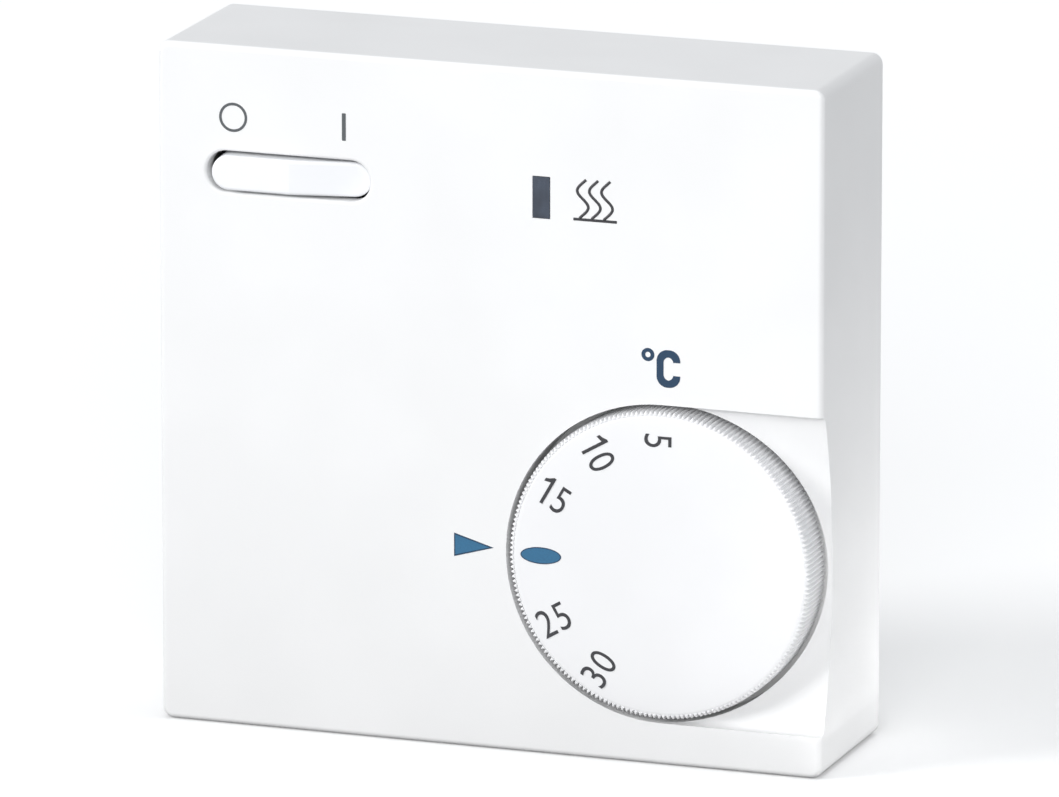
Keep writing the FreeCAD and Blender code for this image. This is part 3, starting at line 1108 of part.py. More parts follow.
def make_plunger():
    """A bullet that slides in the rocker's tube and presses on the see-saw."""
    body = doc.addObject("PartDesign::Body", "RockerPlunger")
    low = "-plungerReach + tubeBore - plungerGap"
    outline = sketch(body, "plunger_outline", offset=low)
    circle(outline, "tubeBore - plungerGap")
    pad(body, "plunger_shank", outline, "plungerLength")
    nose = sketch(body, "plunger_nose_outline", "XY_Plane")
    radius = sizes["tubeBore"] - sizes["plungerGap"]
    middle = sizes["plungerReach"] - radius
    quarter = nose.addGeometry(Part.ArcOfCircle(
        Part.Circle(vec(0, middle, 0), vec(0, 0, 1), radius), 0, math.pi / 2), False)
    down = nose.addGeometry(
        Part.LineSegment(vec(0, middle + radius, 0), vec(0, middle, 0)), False)
    across = nose.addGeometry(
        Part.LineSegment(vec(0, middle, 0), vec(radius, middle, 0)), False)
    for first, second in ((quarter, down), (down, across), (across, quarter)):
        nose.addConstraint(Sketcher.Constraint("Coincident", first, 2, second, 1))
    nose.addConstraint(Sketcher.Constraint("Vertical", down))
    nose.addConstraint(Sketcher.Constraint("Horizontal", across))
    nose.addConstraint(Sketcher.Constraint("Coincident", quarter, 3, down, 2))
    nose.addConstraint(Sketcher.Constraint("PointOnObject", down, 2, -2))
    dimension(nose, "Radius", (quarter,), "tubeBore - plungerGap")
    dimension(nose, "DistanceY", (-1, 1, down, 1), "plungerReach")
    turned = body.newObject("PartDesign::Revolution", "plunger_nose")
    turned.Profile = nose
    turned.ReferenceAxis = (nose, ["V_Axis"])
    turned.Angle = 360
    doc.recompute()
    tip_with_rocker(body)
    return node(body, "rocker_plunger")


def make_rocker_spring():
    """The coil between the plunger and the closed end of the tube."""
    wire = read("rockerWire") / 2
    radius = read("tubeBore") - wire - read("coilGap")
    low = read("plungerReach") - read("tubeBore") + read("plungerGap") - read("plungerLength")
    height = low - 2 * wire
    turns = read("rockerTurns")
    spring = doc.addObject("Part::Feature", "RockerSpring")
    tilt = FreeCAD.Placement(vec(rocker_middle(), read("rockerPivot") - read("frontDepth"),
                                 read("rockerZ")),
                             FreeCAD.Rotation(vec(0, 0, 1), read("rockerTilt")))
    inside = FreeCAD.Placement(vec(0, low - wire, 0), FreeCAD.Rotation(vec(1, 0, 0), 90))
    spring.Shape = coil_spring(height / turns, height, radius, wire)
    spring.Placement = tilt.multiply(inside)
    return node(spring, "rocker_spring")


def make_seesaw():
    """The bridge under the plunger, level about its own pin, then tipped with the rocker."""
    body = doc.addObject("PartDesign::Body", "SeesawBridge")
    bridge = sketch(body, "bridge_outline", offset="seesawRise")
    rectangle(bridge, "seesawLength", "seesawWidth")
    pad(body, "bridge", bridge, "seesawThick")
    knuckle = sketch(body, "seesaw_knuckle_outline", "XY_Plane")
    circle(knuckle, "seesawKnuckle")
    pad(body, "seesaw_knuckle", knuckle, "seesawWidth", both=True)
    trim = sketch(body, "seesaw_trim", offset="seesawRise + seesawThick")
    rectangle(trim, "4 * seesawKnuckle", "2 * seesawWidth")
    pocket(body, "seesaw_flat", trim, "seesawKnuckle", back=True)
    bore = sketch(body, "seesaw_bore_outline", "XY_Plane")
    circle(bore, "seesawPin + pinGap")
    pocket(body, "seesaw_bore", bore, "2 * seesawWidth", both=True)
    button = sketch(body, "seesaw_button_outline", x="-seesawContact",
                    offset="seesawRise - lap")
    circle(button, "seesawButton")
    pad(body, "seesaw_button", button, "seesawButtonThick")
    body.Placement.Rotation = FreeCAD.Rotation(vec(0, 0, 1), -6)
    bind(body, {"Placement.Base.x": rocker_x, "Placement.Base.y": "-(%s)" % seesaw_axis,
                "Placement.Base.z": "rockerZ", "Placement.Rotation.Angle": "-rockerTilt"})
    return node(body, "seesaw_bridge")


def make_switch_housing():
    low = board_top
    outer = block("housing_outer", rocker_x, "rockerZ", low, housing_length,
                  "housingWidth", "housingTop - (%s)" % low)
    floor = "(%s) + housingFloor" % low
    cavity = block("housing_cavity", rocker_x, "rockerZ", floor,
                   housing_length + " - 2 * housingWall", "housingWidth - 2 * housingWall",
                   "housingTop")
    ends = block("housing_ends", rocker_x, "rockerZ", housing_end_top,
                 housing_length + " + 2 * overcut", "housingWidth - 2 * housingWall", "housingTop")
    axle = rod_along_z("housing_axle", rocker_x, "rockerZ", rocker_axis,
                       "trunnionRadius + trunnionGap", "housingWidth + 2 * overcut")
    stop_top = seesaw_axis + " - (seesawLength / 2) * sin(rockerTilt * 1 deg)" \
                             " + seesawRise * cos(rockerTilt * 1 deg) - touchGap"
    stop = block("housing_stop", rocker_x + " + seesawContact", "rockerZ", low,
                 "fixedLegWidth", "seesawWidth", "%s - (%s)" % (stop_top, low))
    shell = cut("housing_shell", outer, cavity, ends, axle)
    node(join("SwitchHousing", shell, stop), "switch_housing")

    pin = rod_along_z("SeesawPin", rocker_x, "rockerZ", seesaw_axis, "seesawPin",
                      "seesawWidth + 2 * (sideGap + earThick)")
    node(pin, "seesaw_pin")
    ears = [block("centre_ear_%d" % side, rocker_x,
                  "rockerZ + %d * (seesawWidth / 2 + sideGap + earThick / 2)" % side,
                  floor, "earWidth", "earThick", "%s + earOver - (%s)" % (seesaw_axis, floor))
            for side in (-1, 1)]
    bridge = block("centre_foot", rocker_x, "rockerZ", floor, "earWidth",
                   "seesawWidth + 2 * (sideGap + earThick)",
                   "%s - seesawKnuckle - footGap - (%s)" % (seesaw_axis, floor))
    ear_hole = rod_along_z("centre_ear_hole", rocker_x, "rockerZ", seesaw_axis,
                           "seesawPin", "housingWidth")
    node(cut("SwitchCentreTerminal", join("centre_blank", bridge, *ears), ear_hole),
         "switch_centre_terminal")

    contact_top = seesaw_axis + " - (seesawContact + seesawButton) * sin(rockerTilt * 1 deg)" \
                                " - (lap - seesawRise) * cos(rockerTilt * 1 deg) - touchGap"
    leg_top = contact_top + " - switchButtonThick"
    leg = block("outer_leg", rocker_x + " - seesawContact", "rockerZ", floor,
                "fixedLegWidth", "seesawWidth", "%s + lap / 2 - (%s)" % (leg_top, floor))
    button = rod("outer_button", rocker_x + " - seesawContact", "rockerZ", leg_top,
                 "seesawButton", "switchButtonThick")
    node(join("SwitchOuterTerminal", leg, button), "switch_outer_terminal")


# ---------------------------------------------------------------- terminal block
def make_terminals():
    width = "poleCount * polePitch"
    low = board_top
    outer = block("terminal_outer", "terminalX", "terminalZ", low, width, "terminalHeight",
                  "terminalDepth")
    clamp_low = "(%s) + terminalWall" % low
    mouth_z = "terminalZ - terminalHeight / 2"
    clamp_z = mouth_z + " + clampInset + clampHeight / 2"
    wire_depth = "(%s) + wireRadius + wireFloor" % clamp_low
    tools = []
    clamps = []
    screws = []
    chamber = "clampHeight + clampInset + clampGap + overcut"
    for index in range(int(read("poleCount"))):
        x = "terminalX + (%d - (poleCount - 1) / 2) * polePitch" % index
        tools.append(block("chamber_%d" % index, x,
                           "%s - overcut + (%s) / 2" % (mouth_z, chamber),
                           clamp_low, "clampWidth + 2 * clampGap", chamber,
                           "clampDepth + clampGap"))
        tools.append(rod("screw_well_%d" % index, x, clamp_z, clamp_low, "terminalHead + screwHoleGap",
                         "terminalDepth"))
        cage = block("cage_%d" % index, x, clamp_z, clamp_low, "clampWidth", "clampHeight",
                     "clampDepth")
        wire = rod_along_z("cage_wire_%d" % index, x, clamp_z, wire_depth, "wireRadius",
                           "2 * clampHeight")
        thread = rod("cage_thread_%d" % index, x, clamp_z, wire_depth, "terminalScrew",
                     "clampDepth")
        clamps.append(cut("clamp_%d" % index, cage, wire, thread))
        seat = "(%s) + clampDepth" % clamp_low
        screws.append(slotted_screw("terminal_screw_%d" % index, x, clamp_z, seat,
                                    "terminalScrew", "terminalScrewLength", "terminalHead",
                                    "terminalHeadThick"))
    node(cut("TerminalBlock", outer, *tools), "terminal_block")
    node(group("TerminalClamps", clamps), "terminal_clamps")
    node(group("TerminalScrews", screws), "terminal_screws")


# ---------------------------------------------------------------- build, check, write
make_front_cover()
make_base_plate()
make_dial()
make_spindle()
make_cam()
make_limit_rings()
make_spindle_clip()
make_bush()
make_mechanism_plate()
make_screws()
make_lever()
make_bimetal()
make_lever_pin_and_spring()
make_board()
make_snap_contact()
make_lamp()
make_resistor("LampResistor", "lamp_resistor", "(lampX + lampResistorX)",
              "lampZ + lampResistorZ")
make_resistor("FeedbackResistor", "feedback_resistor", "(lampX + heatResistorX)",
              "lampZ + heatResistorZ")
make_rocker()
make_plunger()
make_rocker_spring()
make_seesaw()
make_switch_housing()
make_terminals()
doc.recompute()

for thing in doc.Objects:
    if "Invalid" in thing.State or "Error" in thing.State:
        raise RuntimeError("%s failed: %s" % (thing.Name, thing.State))
for thing in nodes:
    if thing.Shape.isNull() or not thing.Shape.isValid() or not thing.Shape.Solids:
        raise RuntimeError(thing.Label + " has no valid shape")

os.makedirs("parts", exist_ok=True)
for thing in nodes:
    thing.Shape.exportStep(os.path.join("parts", thing.Label + ".step"))
    box = thing.Shape.BoundBox
    print("%-24s %2d solid(s) %9.2f mm3   x %6.2f..%6.2f  y %6.2f..%6.2f  z %6.2f..%6.2f"
          % (thing.Label, len(thing.Shape.Solids), thing.Shape.Volume, box.XMin, box.XMax,
             box.YMin, box.YMax, box.ZMin, box.ZMax))
print("wrote", len(nodes), "nodes")
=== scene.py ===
import json
import math
import bmesh
import bpy
from mathutils import Matrix, Vector

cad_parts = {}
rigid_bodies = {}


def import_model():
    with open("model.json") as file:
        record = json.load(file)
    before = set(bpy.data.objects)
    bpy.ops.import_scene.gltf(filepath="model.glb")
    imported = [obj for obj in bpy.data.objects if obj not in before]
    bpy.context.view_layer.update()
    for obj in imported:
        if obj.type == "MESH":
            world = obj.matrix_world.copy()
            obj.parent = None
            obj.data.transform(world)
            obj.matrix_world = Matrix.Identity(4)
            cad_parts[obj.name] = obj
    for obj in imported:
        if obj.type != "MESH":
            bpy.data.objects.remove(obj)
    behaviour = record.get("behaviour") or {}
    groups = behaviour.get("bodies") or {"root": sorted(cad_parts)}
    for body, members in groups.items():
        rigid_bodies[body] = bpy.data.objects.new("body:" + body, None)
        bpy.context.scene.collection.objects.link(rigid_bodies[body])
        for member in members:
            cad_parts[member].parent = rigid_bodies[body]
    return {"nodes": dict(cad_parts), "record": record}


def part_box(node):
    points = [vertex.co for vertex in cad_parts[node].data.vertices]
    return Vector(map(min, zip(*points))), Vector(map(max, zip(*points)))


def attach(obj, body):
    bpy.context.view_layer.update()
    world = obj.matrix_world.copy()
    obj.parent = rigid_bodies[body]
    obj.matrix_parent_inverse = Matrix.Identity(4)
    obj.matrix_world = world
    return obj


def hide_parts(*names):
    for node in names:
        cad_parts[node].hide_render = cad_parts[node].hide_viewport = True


for leftover in list(bpy.data.objects):
    bpy.data.objects.remove(leftover)

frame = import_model()
bpy.context.view_layer.update()
cadNodes = frame["nodes"]
mm = 0.001  # every size below is in millimetres, times this

caseLow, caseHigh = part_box("front_cover")
dialLow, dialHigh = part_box("setting_dial")
caseFront = caseLow.y  # the case's front face looks along -Y
dialFront = dialLow.y
dialMiddle = (dialLow + dialHigh) / 2
print("frame loaded:", len(cadNodes), "nodes")


# camera and light

studio = {  # the camera's direction from the object in degrees, its distance in metres, its lens and target
    "azimuth": 19.6,
    "elevation": 14.0,
    "distance": 1.425,
    "lens": 451.0,
    "aim": (0.4, -12.8, -1.6),
}


def towards(azimuth, elevation):
    a = math.radians(azimuth)
    e = math.radians(elevation)
    return Vector((math.sin(a) * math.cos(e), -math.cos(a) * math.cos(e), math.sin(e)))


def addCamera():
    data = bpy.data.cameras.new("camera")
    data.lens = studio["lens"]
    data.sensor_width = 36.0
    data.clip_end = 100.0
    camera = bpy.data.objects.new("camera", data)
    bpy.context.scene.collection.objects.link(camera)
    back = towards(studio["azimuth"], studio["elevation"])
    camera.location = Vector(studio["aim"]) * mm + back * studio["distance"]
    camera.rotation_mode = "QUATERNION"
    camera.rotation_quaternion = back.to_track_quat("Z", "Y")
    bpy.context.scene.camera = camera


lamps = {  # strength and softness, as an angle, of each lamp
    "key": {"azimuth": -54, "elevation": 22, "strength": 1.66, "spread": 22},
    "front": {"azimuth": 14, "elevation": 17, "strength": 1.3, "spread": 34},
    "right": {"azimuth": 74, "elevation": 12, "strength": 0.3, "spread": 40},
    "back": {"azimuth": 165, "elevation": 82, "strength": 0.5, "spread": 20},
}


def addLamp(name, azimuth, elevation, strength, spread):
    data = bpy.data.lights.new(name, "SUN")
    data.energy = strength
    data.angle = math.radians(spread)
    lamp = bpy.data.objects.new(name, data)
    bpy.context.scene.collection.objects.link(lamp)
    back = towards(azimuth, elevation)
    lamp.location = back
    lamp.rotation_mode = "QUATERNION"
    lamp.rotation_quaternion = back.to_track_quat("Z", "Y")


def addRoom():
    world = bpy.data.worlds.new("room")
    bpy.context.scene.world = world
    world.use_nodes = True
    sky = world.node_tree.nodes["Background"]
    sky.inputs["Color"].default_value = (0.93, 0.96, 1.0, 1)
    sky.inputs["Strength"].default_value = 0.45
    view = bpy.context.scene.view_settings
    view.view_transform = "Standard"
    view.look = "None"
    view.exposure = 0.0
    view.gamma = 1.0


# materials

def linear(red, green, blue):
    def one(value):
        value = value / 255
        return value / 12.92 if value <= 0.04045 else ((value + 0.055) / 1.055) ** 2.4
    return (one(red), one(green), one(blue), 1.0)


class Finish:

    def __init__(self, name, roughness=0.45, metallic=0.0):
        self.material = bpy.data.materials.new(name)
        self.material.use_nodes = True
        self.nodes = self.material.node_tree.nodes
        self.links = self.material.node_tree.links
        self.shader = self.nodes["Principled BSDF"]
        self.shader.inputs["Metallic"].default_value = metallic
        self.shader.inputs["Roughness"].default_value = roughness
        self.place = self.nodes.new("ShaderNodeTexCoord")
        self.normal = None

    def noise(self, scale, detail=3.0, roughness=0.55, stretch=(1, 1, 1)):
        mapping = self.nodes.new("ShaderNodeMapping")
        mapping.inputs["Scale"].default_value = stretch
        self.links.new(self.place.outputs["Object"], mapping.inputs["Vector"])
        noise = self.nodes.new("ShaderNodeTexNoise")
        noise.inputs["Scale"].default_value = scale
        noise.inputs["Detail"].default_value = detail
        noise.inputs["Roughness"].default_value = roughness
        self.links.new(mapping.outputs["Vector"], noise.inputs["Vector"])
        return noise.outputs["Fac"]

    def wave(self, scale, direction, distortion=0.0):
        wave = self.nodes.new("ShaderNodeTexWave")
        wave.bands_direction = direction
        wave.inputs["Scale"].default_value = scale
        wave.inputs["Distortion"].default_value = distortion
        self.links.new(self.place.outputs["Object"], wave.inputs["Vector"])
        return wave.outputs["Fac"]

    def ramp(self, factor, stops):
        ramp = self.nodes.new("ShaderNodeValToRGB")
        band = ramp.color_ramp
        band.elements[0].position, band.elements[0].color = stops[0]
        band.elements[1].position, band.elements[1].color = stops[-1]
        for position, colour in stops[1:-1]:
            band.elements.new(position).color = colour
        self.links.new(factor, ramp.inputs["Fac"])
        return ramp.outputs["Color"]

    def between(self, factor, low, high):
        between = self.nodes.new("ShaderNodeMapRange")
        between.inputs["From Min"].default_value = 0.3
        between.inputs["From Max"].default_value = 0.7
        between.inputs["To Min"].default_value = low
        between.inputs["To Max"].default_value = high
        self.links.new(factor, between.inputs["Value"])
        return between.outputs["Result"]

    def feed(self, socket, output):
        self.links.new(output, self.shader.inputs[socket])

    def bump(self, height, strength, depth):
        bump = self.nodes.new("ShaderNodeBump")
        bump.inputs["Strength"].default_value = strength
        bump.inputs["Distance"].default_value = depth
        self.links.new(height, bump.inputs["Height"])
        if self.normal is not None:
            self.links.new(self.normal, bump.inputs["Normal"])
        self.normal = bump.outputs["Normal"]
        self.links.new(self.normal, self.shader.inputs["Normal"])


def shade(colour, amount):
    return tuple(channel * amount for channel in colour[:3]) + (1.0,)


def mouldedPlastic(name, colour, roughness, grain=4200.0, depth=0.02, tint=0.97):
    finish = Finish(name)
    clouds = finish.noise(55.0, 2.0)
    finish.feed("Base Color", finish.ramp(clouds, [(0.35, shade(colour, tint)), (0.65, colour)]))
    fine = finish.noise(grain, 2.0, 0.6)
    finish.feed("Roughness", finish.between(fine, roughness - 0.05, roughness + 0.05))
    finish.bump(finish.noise(260.0, 1.0), 0.15, 0.02 * mm)  # slight sink and flow of the moulding
    finish.bump(fine, 0.35, depth * mm)  # spark-eroded grain
    finish.shader.inputs["Specular IOR Level"].default_value = 0.42
    return finish


def brushedMetal(name, colour, roughness, stretch=(1, 1, 14), grain=1500.0):
    finish = Finish(name, metallic=1.0)
    lines = finish.noise(grain, 4.0, 0.6, stretch)
    finish.feed("Base Color", finish.ramp(lines, [(0.3, shade(colour, 0.78)), (0.7, colour)]))
    finish.feed("Roughness", finish.between(lines, roughness - 0.08, roughness + 0.1))
    finish.bump(lines, 0.25, 0.01 * mm)
    return finish


def printedInk(name, colour):
    finish = Finish(name)
    dots = finish.noise(5200.0, 2.0)
    finish.feed("Base Color", finish.ramp(dots, [(0.3, shade(colour, 0.9)), (0.7, shade(colour, 1.08))]))
    finish.feed("Roughness", finish.between(dots, 0.38, 0.5))
    finish.bump(dots, 0.2, 0.004 * mm)
    return finish


def smokedLens(name):
    finish = Finish(name)
    colour = linear(24, 30, 46)
    clouds = finish.noise(420.0, 2.0, 0.5, (1.0, 1.0, 0.5))
    stops = [(0.35, shade(colour, 0.5)), (0.65, linear(58, 68, 84))]
    finish.feed("Base Color", finish.ramp(clouds, stops))
    finish.feed("Roughness", finish.between(clouds, 0.16, 0.3))
    finish.bump(finish.wave(1100.0, "Z"), 0.5, 0.02 * mm)  # fine prism ribs behind the window
    finish.shader.inputs["Coat Weight"].default_value = 0.35
    finish.shader.inputs["Coat Roughness"].default_value = 0.12
    return finish


def laminate(name):
    finish = Finish(name)
    weave = finish.wave(900.0, "X", 1.5)
    specks = finish.noise(1800.0, 3.0)
    stops = [(0.3, linear(128, 88, 42)), (0.7, linear(172, 128, 72))]
    finish.feed("Base Color", finish.ramp(specks, stops))
    finish.feed("Roughness", finish.between(specks, 0.45, 0.6))
    finish.bump(weave, 0.2, 0.02 * mm)
    return finish


def bandedResistor(name):
    finish = Finish(name)
    split = finish.nodes.new("ShaderNodeSeparateXYZ")
    finish.links.new(finish.place.outputs["Object"], split.inputs["Vector"])
    rings = finish.nodes.new("ShaderNodeMath")
    rings.operation = "PINGPONG"
    bandPitch = 1.1 * mm
    rings.inputs[1].default_value = bandPitch
    finish.links.new(split.outputs["X"], rings.inputs[0])
    share = finish.nodes.new("ShaderNodeMapRange")
    share.inputs["From Max"].default_value = bandPitch
    finish.links.new(rings.outputs[0], share.inputs["Value"])
    bands = [(0.0, linear(120, 60, 30)), (0.25, linear(120, 60, 30)),
             (0.32, linear(214, 190, 150)), (1.0, linear(214, 190, 150))]
    finish.feed("Base Color", finish.ramp(share.outputs["Result"], bands))
    finish.feed("Roughness", finish.between(finish.noise(900.0), 0.3, 0.42))
    return finish


def glowLampGlass(name):
    finish = Finish(name, roughness=0.06)
    streaks = finish.noise(500.0, 2.0, 0.5, (1, 0.2, 1))
    stops = [(0.3, (1.0, 0.78, 0.62, 1)), (0.7, (1.0, 0.9, 0.82, 1))]
    finish.feed("Base Color", finish.ramp(streaks, stops))
    finish.bump(streaks, 0.1, 0.02 * mm)
    finish.shader.inputs["Transmission Weight"].default_value = 0.85
    return finish


caseColour = linear(243, 243, 243)
finishes = {
    "case_white": mouldedPlastic("caseWhite", caseColour, 0.46),
    "base_white": mouldedPlastic("baseWhite", linear(236, 236, 233), 0.5, 3600.0, 0.03),
    "dial_white": mouldedPlastic("dialWhite", linear(244, 244, 245), 0.42, 4800.0, 0.012),
    "rocker_white": mouldedPlastic("rockerWhite", linear(245, 246, 248), 0.34, 5200.0, 0.008),
    "nylon_white": mouldedPlastic("nylonWhite", linear(233, 230, 218), 0.45, 3000.0, 0.02),
    "housing_black": mouldedPlastic("housingBlack", linear(38, 38, 41), 0.4, 2600.0, 0.03, 0.8),
    "block_grey": mouldedPlastic("blockGrey", linear(196, 198, 197), 0.45, 2600.0, 0.03),
    "ring_blue": mouldedPlastic("ringBlue", linear(48, 84, 160), 0.4, 3000.0, 0.02, 0.9),
    "ring_red": mouldedPlastic("ringRed", linear(178, 48, 40), 0.4, 3000.0, 0.02, 0.9),
    "magnet": mouldedPlastic("sinteredMagnet", linear(58, 58, 61), 0.6, 2400.0, 0.05, 0.7),
    "lamp_dark": smokedLens("smokedLens"),
    "board_laminate": laminate("boardLaminate"),
    "resistor_body": bandedResistor("resistorBands"),
    "bulb_glass": glowLampGlass("bulbGlass"),
    "zinc_steel": brushedMetal("zincSteel", linear(214, 210, 196), 0.32),
    "plate_steel": brushedMetal("plateSteel", linear(190, 190, 188), 0.36, (14, 1, 1)),
    "pin_steel": brushedMetal("pinSteel", linear(205, 205, 205), 0.25),
    "spring_steel": brushedMetal("springSteel", linear(176, 176, 174), 0.3),
    "bimetal": brushedMetal("bimetal", linear(186, 178, 160), 0.34),
    "contact_silver": brushedMetal("contactSilver", linear(226, 224, 218), 0.22),
    "brass": brushedMetal("brass", linear(208, 172, 96), 0.28),
}
inks = {
    "greyInk": printedInk("greyInk", linear(86, 90, 93)),
    "darkInk": printedInk("darkInk", linear(50, 50, 54)),
    "blueInk": printedInk("blueInk", linear(46, 104, 141)),
    "navyInk": printedInk("navyInk", linear(22, 56, 84)),
}


def paintNodes():
    for part in frame["record"]["subparts"]:
        node = cadNodes[part["node"]]
        finish = finishes[part["material_slot"]]
        node.data.materials.clear()
        node.data.materials.append(finish.material)


# printed marks

frontward = Matrix.Rotation(math.radians(90), 4, "X")  # flat drawing to the front: x stays, y goes up


def flatCurve(name, rings, closed=True):
    curve = bpy.data.curves.new(name, "CURVE")
    curve.dimensions = "2D"
    curve.fill_mode = "BOTH"
    for ring in rings:
        spline = curve.splines.new("POLY")
        spline.points.add(len(ring) - 1)
        for point, (x, y) in zip(spline.points, ring):
            point.co = (x * mm, y * mm, 0, 1)
        spline.use_cyclic_u = closed
    return curve


def circleRing(x, y, radius, count=72, squash=1.0):
    steps = [2 * math.pi * step / count for step in range(count)]
    return [(x + radius * math.cos(turn), y + radius * squash * math.sin(turn)) for turn in steps]


def barRing(x, y, width, height, corner=0.08, count=6):
    ring = []
    for quarter in range(4):
        middleX = x + (width / 2 - corner) * (1 if quarter in (0, 3) else -1)
        middleY = y + (height / 2 - corner) * (1 if quarter in (0, 1) else -1)
        for step in range(count + 1):
            turn = math.radians(90 * (quarter + step / count))
            ring.append((middleX + corner * math.cos(turn), middleY + corner * math.sin(turn)))
    return ring


def lettering(text, height, narrow, weight):
    curve = bpy.data.curves.new("text " + text, "FONT")
    curve.body = text
    curve.align_x = "CENTER"
    curve.size = height / 0.73 * mm  # the capitals stand 0.73 of the size
    curve.offset = weight * mm
    curve.fill_mode = "BOTH"
    curve.resolution_u = 8
    return curve, Matrix.Diagonal((narrow, 1, 1, 1)) @ Matrix.Translation((0, -height * mm / 2, 0))


def inkMesh(curve, place, surface, thickness=0.03):
    curve.extrude = thickness * mm
    drawing = bpy.data.objects.new("drawing", curve)
    bpy.context.scene.collection.objects.link(drawing)
    bpy.context.view_layer.update()
    seen = drawing.evaluated_get(bpy.context.evaluated_depsgraph_get())
    mesh = bpy.data.meshes.new_from_object(seen)
    bpy.data.objects.remove(drawing)
    mesh.transform(place)
    mesh.transform(Matrix.Translation((0, surface, 0)) @ frontward)
    return mesh


def joinMeshes(name, meshes, finish, body):
    whole = bmesh.new()
    for mesh in meshes:
        whole.from_mesh(mesh)
    bmesh.ops.remove_doubles(whole, verts=whole.verts, dist=0.0005 * mm)
    bmesh.ops.recalc_face_normals(whole, faces=whole.faces)
    final = bpy.data.meshes.new(name)
    whole.to_mesh(final)
    whole.free()
    final.materials.clear()
    final.materials.append(finish.material)
    piece = bpy.data.objects.new(name, final)
    bpy.context.scene.collection.objects.link(piece)
    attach(piece, body)
    return piece


marks = {
    "off": {"x": -28.9, "z": 29.7, "radius": 1.6, "line": 0.29},
    "on": {"x": -16.3, "z": 29.6, "width": 0.44, "height": 3.0},
    "degree": {"x": 18.0, "z": 7.5, "radius": 0.72, "line": 0.42},
    "celsius": {"x": 20.3, "z": 6.1, "width": 2.65, "height": 4.1, "stroke": 0.78, "gap": 0.72},
    "pointer": {"left": -3.88, "right": 0.62, "z": -15.2, "half": 1.3, "edge": 0.14},
    "heating": {"left": 9.6, "right": 14.5, "low": 21.6, "high": 25.95, "line": 0.3,
                "pitch": 1.36, "sway": 0.62, "thickness": 0.06, "waves": 3},
}


def printSwitchMarks():
    off = marks["off"]
    on = marks["on"]
    hole = off["radius"] - off["line"]
    ring = flatCurve("offRing", [circleRing(off["x"], off["z"], off["radius"]),
                                 circleRing(off["x"], off["z"], hole)])
    bar = flatCurve("onBar", [barRing(on["x"], on["z"], on["width"], on["height"])])
    meshes = [inkMesh(ring, Matrix(), caseFront), inkMesh(bar, Matrix(), caseFront)]
    joinMeshes("switch_marks", meshes, inks["greyInk"], "root")


def openRing(x, z, width, height, stroke, gap):
    corner = width * 0.46
    outer = barRing(x, z, width, height, corner, 12)
    inner = barRing(x, z, width - 2 * stroke, height - 2 * stroke, corner - 0.75 * stroke, 12)
    edge = x + width / 2
    inside = edge - stroke
    upper, lower = z + gap, z - gap
    return [(edge, upper), *outer, (edge, lower), (inside, lower), *reversed(inner), (inside, upper)]


def printDegreeMark():
    degree = marks["degree"]
    celsius = marks["celsius"]
    hole = degree["radius"] - degree["line"]
    ring = flatCurve("degreeRing", [circleRing(degree["x"], degree["z"], degree["radius"]),
                                    circleRing(degree["x"], degree["z"], hole)])
    letter = flatCurve("letterC", [openRing(**celsius)])
    meshes = [inkMesh(ring, Matrix(), caseFront), inkMesh(letter, Matrix(), caseFront)]
    joinMeshes("degree_mark", meshes, inks["navyInk"], "root")


def triangleRing(left, right, z, half):
    return [(left, z - half), (right, z), (left, z + half)]


def printPointer():
    pointer = marks["pointer"]
    edge = pointer["edge"]
    outer = triangleRing(pointer["left"], pointer["right"], pointer["z"], pointer["half"])
    inner = triangleRing(pointer["left"] + edge, pointer["right"] - 3.4 * edge, pointer["z"],
                         pointer["half"] - 1.5 * edge)
    joinMeshes("pointer_edge", [inkMesh(flatCurve("pointerEdge", [outer, inner]), Matrix(), caseFront)],
               inks["navyInk"], "root")
    joinMeshes("pointer_fill", [inkMesh(flatCurve("pointerFill", [inner]), Matrix(), caseFront)],
               inks["blueInk"], "root")


scale = {
    "firstAngle": 90.0, "step": 30.0, "radius": 13.7,
    "height": 3.25, "narrow": 0.84, "weight": -0.02, "pitch": 2.05,
    "numbers": ["5", "10", "15", None, "25", "30"],
    "markRadius": 13.3, "markHalf": 2.3, "markSquash": 0.4, "markEdge": 0.12,
}


def oneRing(height, stroke=0.36, flag=0.72):
    aside = 0.3  # the stem stands to the right, towards the next digit
    left, right, top = aside - stroke / 2, aside + stroke / 2, height / 2
    tipHigh = top - 0.72 * flag
    return [(left, -top), (right, -top), (right, top), (left + 0.1, top),
            (left - 0.35, top - 0.5 * flag), (left - flag, tipHigh),
            (left - flag, tipHigh - stroke), (left, top - 0.9 * flag)]


def printScale():
    meshes = []
    for place, number in enumerate(scale["numbers"]):
        if number is None:
            continue
        angle = math.radians(scale["firstAngle"] + scale["step"] * place)
        x = dialMiddle.x + scale["radius"] * mm * math.cos(angle)
        z = dialMiddle.z + scale["radius"] * mm * math.sin(angle)
        spot = Matrix.Translation((x, z, 0)) @ Matrix.Rotation(angle - math.pi, 4, "Z")
        for column, digit in enumerate(number):
            shift = (column - (len(number) - 1) / 2) * scale["pitch"] * mm
            if digit == "1":
                glyph, narrow = flatCurve("digitOne", [oneRing(scale["height"])]), Matrix()
            else:
                glyph, narrow = lettering(digit, scale["height"], scale["narrow"], scale["weight"])
            meshes.append(inkMesh(glyph, spot @ Matrix.Translation((shift, 0, 0)) @ narrow, dialFront))
    joinMeshes("dial_numbers", meshes, inks["darkInk"], "dial")


